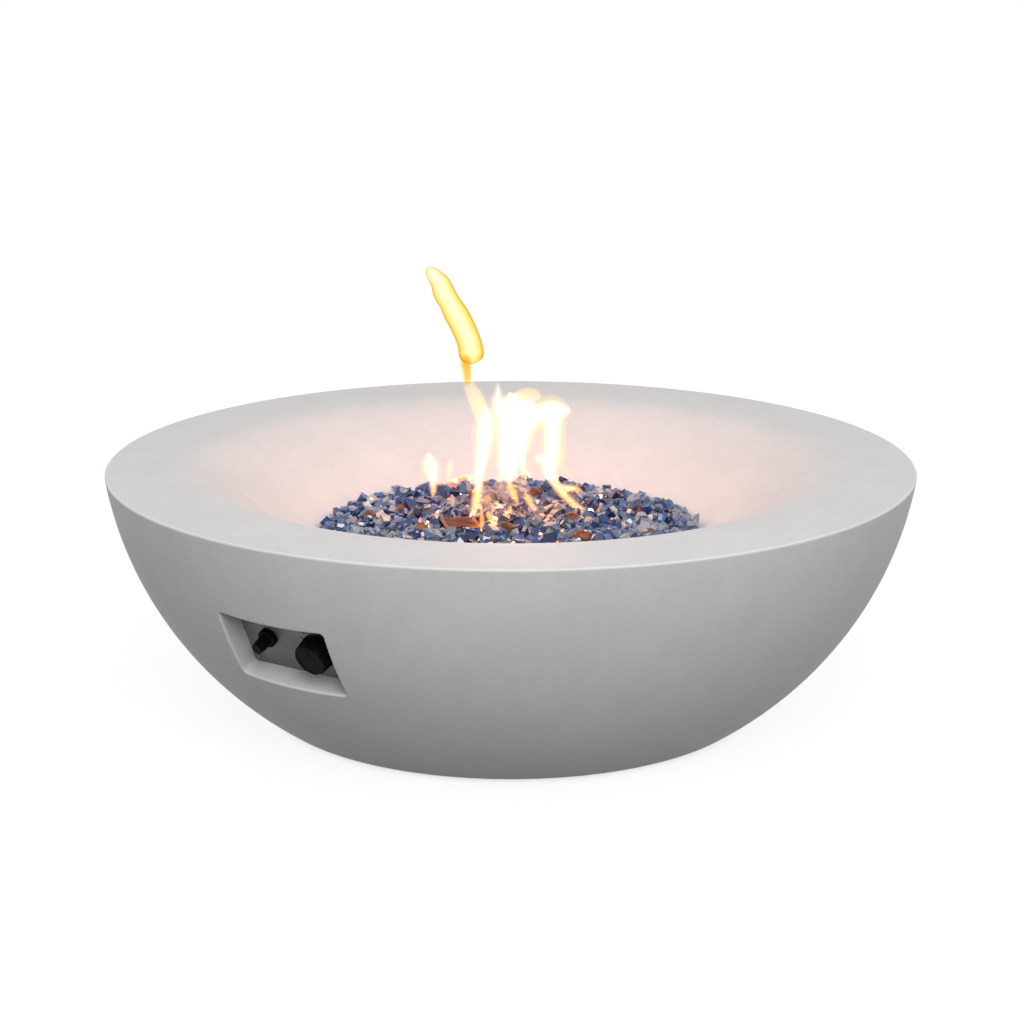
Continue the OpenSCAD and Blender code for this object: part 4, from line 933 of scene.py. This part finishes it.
def dial_marks_shape(recess):
    """Plain printed ticks round the knob: thin closed plates, turned about the knob's axis.

    Each tick is its angle in degrees, its length and its width in millimetres."""
    middle, axes = control_frame(recess, 1)
    ticks = [(0, 6, 2), (35, 4, 1.6), (90, 6, 2), (140, 4, 1.8), (162, 4, 1.8), (180, 6, 2), (270, 4, 3),
             (320, 5, 2)]
    degrees, length, width = np.array(ticks).T
    angle, length, width = np.radians(degrees), length * MM, width * MM
    start = recess.knob_d / 2 + 3 * MM
    out = start + length[:, None] * np.array([0, 1, 1, 0])
    side = width[:, None] * np.array([-0.5, -0.5, 0.5, 0.5])
    x = out * np.cos(angle)[:, None] - side * np.sin(angle)[:, None]
    y = out * np.sin(angle)[:, None] + side * np.cos(angle)[:, None]
    low, high = 0.02 * MM, 0.14 * MM
    plates = np.concatenate([np.dstack([x, y, np.full_like(x, z)]) for z in (low, high)], axis=1)
    k = np.arange(4)
    sides = np.stack([k, (k + 1) % 4, (k + 1) % 4 + 4, k + 4], axis=1)
    one = np.concatenate([sides, [[3, 2, 1, 0], [4, 5, 6, 7]]])
    return middle + plates.reshape(-1, 3) @ axes, repeat_faces(one, len(angle), 8)


# Flames: kind, distance behind the bowl's axis, and centreline as (across, up, width), all in millimetres

FLAMES = (
    ("white", 20, [(-45, 276, 7), (-44, 288, 12), (-43, 304, 16), (-38, 332, 21), (-34, 363, 27),
                   (-33, 385, 20), (-34, 401, 7)]),
    ("streak", 20, [(-55, 243, 5), (-49, 258, 10), (-46, 274, 13), (-43, 292, 12), (-42, 308, 5)]),
    ("plume", 24, [(-33, 362, 14), (-38, 385, 22), (-46, 407, 23), (-54, 423, 18), (-58, 436, 10)]),
    ("white", 70, [(-12, 283, 12), (-11, 320, 17), (-12, 355, 17), (-17, 388, 20), (-17, 407, 12),
                   (-18, 422, 4)]),
    ("faint", 30, [(-22, 300, 8), (-23, 330, 13), (-26, 352, 12), (-30, 378, 8)]),
    ("white", 56, [(-2, 280, 15), (0, 311, 25), (2, 344, 31), (3, 374, 38), (2, 396, 36),
                   (-2, 411, 11)]),
    ("white", 40, [(17, 295, 8), (15, 331, 17), (18, 367, 32), (21, 388, 36), (24, 406, 12)]),
    ("plume", 46, [(2, 402, 8), (12, 406, 20), (24, 407, 22), (34, 406, 19), (39, 402, 9)]),
    ("faint", 48, [(28, 318, 8), (27, 340, 16), (30, 362, 18), (34, 380, 10)]),
    ("faint", 56, [(16, 296, 6), (28, 308, 14), (36, 322, 10)]),
    ("faint", 62, [(88, 288, 5), (74, 298, 14), (66, 312, 12), (62, 330, 6)]),
    ("white", 52, [(15, 350, 11), (30, 374, 28), (48, 384, 32), (64, 385, 30), (76, 386, 16),
                   (82, 387, 5)]),
    ("white", 50, [(58, 278, 7), (53, 296, 18), (55, 320, 25), (56, 348, 25), (57, 373, 28),
                   (65, 387, 19)]),
    ("streak", 50, [(111, 243, 3), (93, 251, 9), (79, 262, 11), (65, 278, 12), (55, 296, 12),
                    (53, 310, 6)]),
    ("faint", 58, [(62, 299, 14), (67, 318, 16), (68, 343, 16), (65, 368, 14)]),
    ("white", 60, [(32, 311, 5), (41, 318, 16), (49, 307, 16), (55, 287, 11)]),
    ("streak", 44, [(99, 275, 3), (87, 279, 10), (75, 280, 10), (62, 283, 7)]),
    ("white", 132, [(-110, 258, 6), (-108, 270, 15), (-111, 287, 22), (-113, 300, 17), (-115, 311, 4)]),
    ("streak", 132, [(-109, 242, 4), (-108, 254, 9), (-108, 266, 11), (-109, 278, 5)]),
    ("faint", 128, [(-123, 265, 4), (-119, 278, 11), (-115, 292, 12), (-113, 305, 6)]),
    ("peach", 122, [(-88, 269, 5), (-86, 284, 14), (-84, 293, 14), (-84, 304, 5)]),
    ("orange", 140, [(-106, 259, 4), (-82, 266, 8), (-60, 271, 10), (-43, 273, 7)]),
    ("orange", 80, [(-4, 285, 7), (3, 265, 14), (11, 247, 5)]),
    ("orange", 45, [(18, 274, 5), (26, 260, 12), (36, 245, 5)]),
    ("orange", -15, [(-33, 262, 7), (-25, 252, 13), (-17, 244, 7)]),
    ("orange", -55, [(-39, 278, 5), (-38, 261, 9), (-39, 245, 4)]),
    ("orange", 5, [(-97, 259, 5), (-100, 252, 9), (-103, 244, 4)]),
    ("orange", 15, [(-1, 264, 4), (-2, 253, 9), (-6, 244, 4)]),
    ("blush", 20, [(-35, 249, 8), (-34, 262, 22), (-33, 280, 24), (-34, 298, 10)]),
    ("blush", 55, [(-8, 256, 8), (-10, 268, 22), (-11, 284, 26), (-12, 300, 10)]),
    ("blush", 60, [(22, 258, 8), (18, 270, 20), (12, 284, 20), (6, 296, 8)]),
    ("orange", 90, [(13, 283, 5), (20, 288, 13), (28, 284, 5)]),
    ("neck", 22, [(-57.5, 424, 9), (-57.5, 434, 11), (-58, 444, 13), (-59, 454, 16), (-59, 462, 14),
                  (-58, 470, 6)]),
    ("yellow", 20, [(-50, 455, 14), (-51, 460, 32), (-52.5, 472, 34), (-55, 485, 33), (-60, 498, 33),
                    (-66, 511, 33), (-73, 524, 33), (-80, 537, 29), (-87, 549, 30), (-92, 562, 27),
                    (-97, 569, 23), (-102, 575, 19), (-106, 582, 13), (-107, 587, 6)]),
)
# Layers of each kind of tongue: the share of its width that each fills, the share of its length that each
# leaves free at both ends, and the share of its width that it leaves hollow
LAYERS = {
    "white": (("glow", 1.45, 0, 0), ("body", 0.95, 0, 0), ("core", 0.5, 0, 0)),
    "streak": (("ember", 1.2, 0, 0), ("amber", 0.75, 0, 0), ("core", 0.3, 0, 0)),
    "faint": (("veil", 1.0, 0, 0),),
    "plume": (("haze", 1.0, 0, 0),),
    "blush": (("blush", 1.0, 0, 0),),
    "peach": (("veil", 1.0, 0, 0), ("ember", 0.6, 0, 0)),
    "orange": (("ember", 1.0, 0, 0), ("amber", 0.62, 0, 0)),
    "neck": (("stem", 1.0, 0, 0), ("root", 0.6, 0.05, 0)),
    "yellow": (("rind", 1.0, 0, 0.9), ("sun", 0.89, 0.015, 0), ("pale", 0.5, 0.06, 0)),
}
# Light that each layer's gas soaks up and gives off per metre, as red, green and blue
CLEAR = (0, 0, 0)
GASES = {
    "glow": ((0, 2, 7), (8, 5.5, 3)),
    "veil": ((0, 3, 12), (9, 6, 4)),
    "haze": ((0, 2, 14), (24, 17, 9)),
    "blush": (CLEAR, (20, 9, 3)),
    "body": (CLEAR, (18, 16, 14)),
    "core": (CLEAR, (55, 51, 46)),
    "ember": (CLEAR, (78, 25, 4)),
    "amber": (CLEAR, (120, 66, 14)),
    "stem": ((0, 38, 150), (6, 3, 1)),
    "root": ((0, 24, 120), (5, 2, 1)),
    "rind": ((0, 95, 400), (10, 5, 1)),
    "sun": ((0, 2, 20), (16, 14, 18)),
    "pale": (CLEAR, (8, 8, 38)),
}
# Share of its length that a hollow layer fills at both ends
RIND_END = 0.015


def smooth_path(knots, along):
    """A smooth path through knots: on each span a Catmull-Rom cubic of its four nearest knots."""
    ends = np.concatenate([2 * knots[:1] - knots[1:2], knots, 2 * knots[-1:] - knots[-2:-1]])
    t = along * (len(knots) - 1)
    span = np.minimum(t.astype(int), len(knots) - 2)
    s = (t - span)[:, None]
    a, b, c, d = (ends[span + k] for k in range(4))
    return 0.5 * (2 * b + (c - a) * s + (2 * a - 5 * b + 4 * c - d) * s ** 2
                  + (3 * b - a - 3 * c + d) * s ** 3)


def tongue_shape(depth, knots, share, free, azimuth):
    """One tongue of flame: ellipses across a smooth centreline, closed to a point at both ends.

    A point is path + w/2 (cos v normal + depth_share sin v away), where w fades to nothing at both ends.
    Share is the layer's part of the tongue's width, free the part of its length left free at each end."""
    steps, sides, depth_share, fade_in, fade_out, thinnest = 40, 18, 0.8, 0.12, 0.1, 0.3 * MM
    path = smooth_path(np.array(knots, float) * MM, np.linspace(free, 1 - free, steps))
    t = np.linspace(0, 1, steps)
    ends = np.sqrt(np.clip(t / fade_in, 0, 1) * np.clip((1 - t) / fade_out, 0, 1))
    width = np.maximum(path[:, 2] * share, thinnest) * ends
    along = np.gradient(path[:, :2], axis=0)
    along /= np.linalg.norm(along, axis=1)[:, None]
    right = np.array([math.cos(azimuth), math.sin(azimuth), 0])
    away = np.array([-math.sin(azimuth), math.cos(azimuth), 0])
    up = np.array([0, 0, 1.0])
    centre = path[:, :1] * right + path[:, 1:2] * up + depth * MM * away
    normal = -along[:, 1:] * right + along[:, :1] * up
    v = np.linspace(0, 2 * math.pi, sides, endpoint=False)
    cos_v, sin_v = np.cos(v)[None, :, None], np.sin(v)[None, :, None]
    points = (centre[:, None] + width[:, None, None] / 2
              * (cos_v * normal[:, None] + depth_share * sin_v * away))
    return points.reshape(-1, 3), grid_quads(steps, sides, ring=False)[:, ::-1]


# Stage

def add_camera(stage):
    """The photograph's view: level turn, height, pitch and lens."""
    camera = bpy.data.objects.new("camera", bpy.data.cameras.new("camera"))
    camera.data.lens = stage.lens
    camera.data.sensor_width = 36
    camera.data.shift_x = stage.shift
    camera.location = (stage.distance * math.sin(stage.azimuth), -stage.distance * math.cos(stage.azimuth),
                       stage.camera_z)
    camera.rotation_euler = (math.pi / 2 - stage.pitch, 0, stage.azimuth)
    bpy.context.scene.collection.objects.link(camera)
    bpy.context.scene.camera = camera


def seen_direct(tree):
    """1 for what the camera, a reflection or a view through glass sees, else 0."""
    ray = node(tree, "LightPath").outputs
    first = node(tree, "Math", [ray["Is Camera Ray"], ray["Is Glossy Ray"]], operation="MAXIMUM")
    return node(tree, "Math", [first, ray["Is Transmission Ray"]], operation="MAXIMUM")


def add_lights(stage, finish):
    """Even sky, one large lamp in front and above, and firelight over the flames' foot."""
    world = bpy.data.worlds.new("studio")
    world.use_nodes = True
    tree = world.node_tree
    way = node(tree, "TexCoord").outputs["Generated"]
    rise = node(tree, "SeparateXYZ", [way]).outputs["Z"]
    sky = node(tree, "MapRange", [rise, 0.0, 1.0, stage.sky_low, stage.sky_high])
    power = node(tree, "MapRange", [seen_direct(tree), 0.0, 1.0, sky, 1.0])
    feed(tree.nodes["Background"], {"Color": (1, 1, 1, 1), "Strength": power})
    bpy.context.scene.world = world

    # A disk in metres: its width, its level distance, its height, and how far below it is aimed at the axis
    lamp_d, level, height, drop = 2.2, 3.6, 2.4, 2.2
    key = bpy.data.lights.new("key", "AREA")
    turn = stage.azimuth + math.radians(7)
    key.energy, key.shape, key.size = stage.key, "DISK", lamp_d
    lamp = bpy.data.objects.new("key", key)
    lamp.location = (level * math.sin(turn), -level * math.cos(turn), height)
    lamp.rotation_euler = (math.atan2(level, drop), 0, turn)
    bpy.context.scene.collection.objects.link(lamp)

    # Power, colour, radius and height of the light from the flames and from the hot glass
    lamps = {"firelight": (stage.fire, finish.flame, 0.09, 0.46),
             "ember_light": (stage.fire * 0.36, linear("#ff8a3c")[:3], 0.03, 0.31)}
    for name, (power, colour, size, height) in lamps.items():
        fire = bpy.data.lights.new(name, "POINT")
        fire.energy, fire.color, fire.shadow_soft_size = power, colour, size
        glow = bpy.data.objects.new(name, fire)
        glow.location = (*FIRE_FOOT, height)
        bpy.context.scene.collection.objects.link(glow)


def add_floor(stage):
    """A pale round floor: radius times (cos a, sin a), seen white, with the object's shadow kept and a
    painted shadow round the bowl's foot.
    """
    # Painted studio floor: even and matte; what is seen adds to the light it returns, up to white
    material, tree, shader, spot = new_surface("pale_studio_floor")
    grain = node(tree, "TexNoise", {"Vector": spot, "Scale": per(300), "Detail": 2.0})
    tone = node(tree, "MapRange", [grain, 0.0, 1.0, 0.17, 0.2])
    # Under the bowl and just round its foot the white glow fades out, a painted shadow; there the floor has
    # only the light that gets there, so that the notch and the gap look dark
    dark_r, open_r, glow = 0.27, 0.34, 0.89
    from_axis = node(tree, "VectorMath", [spot], operation="LENGTH")
    glow_round_painted_shadow = node(tree, "MapRange", [from_axis, dark_r, open_r, 0.0, glow],
                      interpolation_type="SMOOTHSTEP")
    lit = node(tree, "Math", [seen_direct(tree), glow_round_painted_shadow], operation="MULTIPLY")
    feed(shader, {"Base Color": tone, "Emission Strength": lit, "Emission Color": (1, 1, 1, 1),
                  "Roughness": 1.0, "Specular IOR Level": 0.0})
    sides = 96
    turn = np.linspace(0, 2 * math.pi, sides, endpoint=False)
    points = turned(np.full((1, 1), stage.floor_r), 0.0, turn)
    add_piece("floor", points, [list(range(sides))], material)


def add_flames(stage):
    """Nested layers of each tongue of flame, from an orange rind or a faint glow to a white core."""
    gases = {layer: flame_gas("burning_gas_" + layer, *light) for layer, light in GASES.items()}
    for k, (kind, depth, knots) in enumerate(FLAMES):
        for layer, share, free, hollow in LAYERS[kind]:
            points, quads = tongue_shape(depth, knots, share, free, stage.azimuth)
            if hollow:
                inside = tongue_shape(depth, knots, hollow, RIND_END, stage.azimuth)[0]
                quads = np.concatenate([quads, quads[:, ::-1] + len(points)])
                points = np.concatenate([points, inside])
            flame = add_piece(f"flame_{k}_{layer}", points, quads, gases[layer], merge=True)
            flame.visible_diffuse = False
            flame.visible_shadow = False


# Operators

class FIRE_PIT_OT_bowl(bpy.types.Operator):
    """Cast bowl with its control recess, its hose notch and its feet"""
    bl_idname = "fire_pit.bowl"
    bl_label = "Cast bowl"

    def execute(self, context):
        points, faces, wear_and_highlight = bowl_shape(group("bowl"), group("recess"))
        bowl = add_piece("cast_bowl", points, faces, cast_concrete(group("finish")), crease=32)
        # Edges paled for wear and a painted highlight, for the concrete to read
        add_values(bowl, "edge_wear_and_highlight", "POINT", wear_and_highlight)
        place(bowl, "bowl", "cast_concrete", "bowl_shell")
        # Moulded rubber: dull grey, fine grain
        dress(moulded("moulded_rubber", linear("#4a4a49"), 0.85, 1.2, 0.15, 1.5, 0.3), "foot_pads")
        return {"FINISHED"}


class FIRE_PIT_OT_fire_bed(bpy.types.Operator):
    """Fire glass, lava stones and the lava rock under them"""
    bl_idname = "fire_pit.fire_bed"
    bl_label = "Fire bed"

    def execute(self, context):
        bed, finish = group("bed"), group("finish")
        points, faces, tints, mirrored = glass_bed_shape(bed, group("bowl"))
        glass = add_piece("fire_glass", points, faces, fire_glass(finish))
        add_values(glass, "glass_tint", "FACE", tints)
        add_values(glass, "mirror_face", "FACE", mirrored)
        place(glass, "bowl", "fire_glass", "fire_glass_bed")
        lava = lava_stone(finish)
        boxes = stone_boxes("lava_stones")
        points, faces = stones_shape(boxes, np.random.default_rng(bed.seed + 1))
        stones = add_piece("loose_stones", points, faces, lava, crease=60, merge=True)
        place(stones, "bowl", "lava_rock", "lava_stones")
        dress(lava, "lava_rock_bed")
        return {"FINISHED"}


class FIRE_PIT_OT_controls(bpy.types.Operator):
    """Control panel, knob, igniter and dial ticks"""
    bl_idname = "fire_pit.controls"
    bl_label = "Controls"

    def execute(self, context):
        recess, finish = group("recess"), group("finish")
        # Moulded phenolic plastic: near black, fine spark-eroded grain, soft gloss
        plastic = moulded("moulded_black_plastic", rgba(finish.plastic), 0.6, 0.9, 0.08, 1.55, 0.05)
        knob = add_piece("knob", *knob_shape(recess), plastic, crease=38, merge=True)
        place(knob, "knob", "black_plastic", "control_knob")
        button = add_piece("button", *button_shape(recess), plastic, crease=38, merge=True)
        place(button, "button", "black_plastic", "igniter_button")
        # Screen ink: flat dark grey, slightly rough
        ink = moulded("screen_ink", linear("#161617"), 0.7, 0.8, 0.02, 1.5, 0.1)
        marks = add_piece("dial_ticks", *dial_marks_shape(recess), ink)
        place(marks, "bowl", "black_plastic")
        dress(plastic, "igniter_housing", "igniter_end_cap")
        # Brushed stainless sheet: satin, with fine level scratches under a film of dust
        brushed = metal("brushed_stainless_sheet", rgba(finish.steel), 0.55, (90, 1.1, 1.1), 60,
                        linear("#6a6967"), bare=0.6)
        dress(brushed, "control_panel", "burner_pan", "panel_screws", "pilot_bracket")
        return {"FINISHED"}


class FIRE_PIT_OT_burner(bpy.types.Operator):
    """Burner, pilot, valve and pipe finishes"""
    bl_idname = "fire_pit.burner"
    bl_label = "Burner and pipework"

    def execute(self, context):
        # Stainless tube that has been warm: straw clouds over satin steel
        tube = metal("drawn_stainless_tube", linear("#a9a6a0"), 0.34, (4, 4, 40), 40, linear("#8b7a63"))
        # Steel that has been hot: rusty brown with violet grey clouds
        hot = metal("heat_tinted_steel", linear("#a85c36"), 0.42, (6, 6, 6), 16, linear("#4c3a44"))
        # Bright zinc plating: pale, faintly cloudy
        zinc = metal("zinc_plated_steel", linear("#bcc0c2"), 0.34, (5, 5, 5), 12, linear("#a2a6ab"))
        # Turned brass: warm yellow with lathe rings
        brass = metal("turned_brass", linear("#c9a25a"), 0.3, (30, 30, 1.4), 25, linear("#9c7a42"))
        # Drawn copper: warm red brown, dulled in patches
        copper = metal("drawn_copper", linear("#c27a52"), 0.36, (6, 6, 6), 20, linear("#7f4f3a"))
        # Glazed alumina: off-white, slightly glossy
        ceramic = moulded("glazed_alumina", linear("#e6dfd0"), 0.3, 1.5, 0.05, 1.76)
        # Silicone sleeve: dark, waxy
        sleeve = moulded("silicone_sleeve", linear("#2b2a2a"), 0.6, 2.0, 0.05, 1.43)
        # Shrunk printed film, left plain: glossy dark green
        film = moulded("battery_film", linear("#2f4038"), 0.25, 3.0, 0.02, 1.5)
        dress(tube, "burner_ring")
        dress(hot, "pilot_guard", "electrode_rod", "thermocouple")
        dress(zinc, "burner_nipple", "burner_locknut", "valve_screws", "igniter_nut")
        dress(brass, "air_mixer", "gas_orifice", "mixer_elbow", "tube_nuts", "thermocouple_nut",
              "gas_inlet_fitting", "gas_valve_body", "valve_push_rod", "valve_stem")
        dress(ceramic, "electrode_ceramic")
        dress(film, "battery_cell")
        smooth_copy("gas_tube", "supply_tube", tube, "bowl", "stainless_tube")
        smooth_copy("probe_lead", "thermocouple_lead", copper, "bowl", "copper_lead")
        smooth_copy("ignition_lead", "spark_lead", sleeve, "bowl", "lead_sheath")
        shorten(smooth_copy("return_coil", "valve_spring", zinc, "bowl", "zinc_steel"))
        shorten(smooth_copy("button_coil", "igniter_spring", zinc, "bowl", "zinc_steel"))
        return {"FINISHED"}


class FIRE_PIT_OT_stage(bpy.types.Operator):
    """Floor, flames, lights and camera"""
    bl_idname = "fire_pit.stage"
    bl_label = "Stage"

    def execute(self, context):
        stage, finish = group("stage"), group("finish")
        add_camera(stage)
        add_lights(stage, finish)
        add_floor(stage)
        add_flames(stage)
        context.scene.view_settings.view_transform = "Standard"
        return {"FINISHED"}


class FIRE_PIT_PT_panel(bpy.types.Panel):
    """Lists the sizes and the steps"""
    bl_idname = "FIRE_PIT_PT_panel"
    bl_label = "Fire pit"
    bl_space_type = "VIEW_3D"
    bl_region_type = "UI"
    bl_category = "Fire pit"

    def draw(self, context):
        for step in STEPS:
            self.layout.operator(step.bl_idname)
        for name, kind in GROUPS.items():
            box = self.layout.box()
            box.label(text=kind.__doc__)
            for key in kind.__annotations__:
                box.prop(getattr(context.scene, name), key)


STEPS = (FIRE_PIT_OT_bowl, FIRE_PIT_OT_fire_bed, FIRE_PIT_OT_controls, FIRE_PIT_OT_burner,
         FIRE_PIT_OT_stage)


def register():
    """Adds the classes and the groups of sizes."""
    for kind in (*GROUPS.values(), *STEPS, FIRE_PIT_PT_panel):
        bpy.utils.register_class(kind)
    for name, kind in GROUPS.items():
        setattr(bpy.types.Scene, name, PointerProperty(type=kind))


def unregister():
    """Takes them out again."""
    for name in GROUPS:
        delattr(bpy.types.Scene, name)
    for kind in (FIRE_PIT_PT_panel, *STEPS, *GROUPS.values()):
        bpy.utils.unregister_class(kind)


def main():
    register()
    bpy.ops.fire_pit.bowl()
    bpy.ops.fire_pit.fire_bed()
    bpy.ops.fire_pit.controls()
    bpy.ops.fire_pit.burner()
    bpy.ops.fire_pit.stage()


if __name__ == "__main__":
    main()
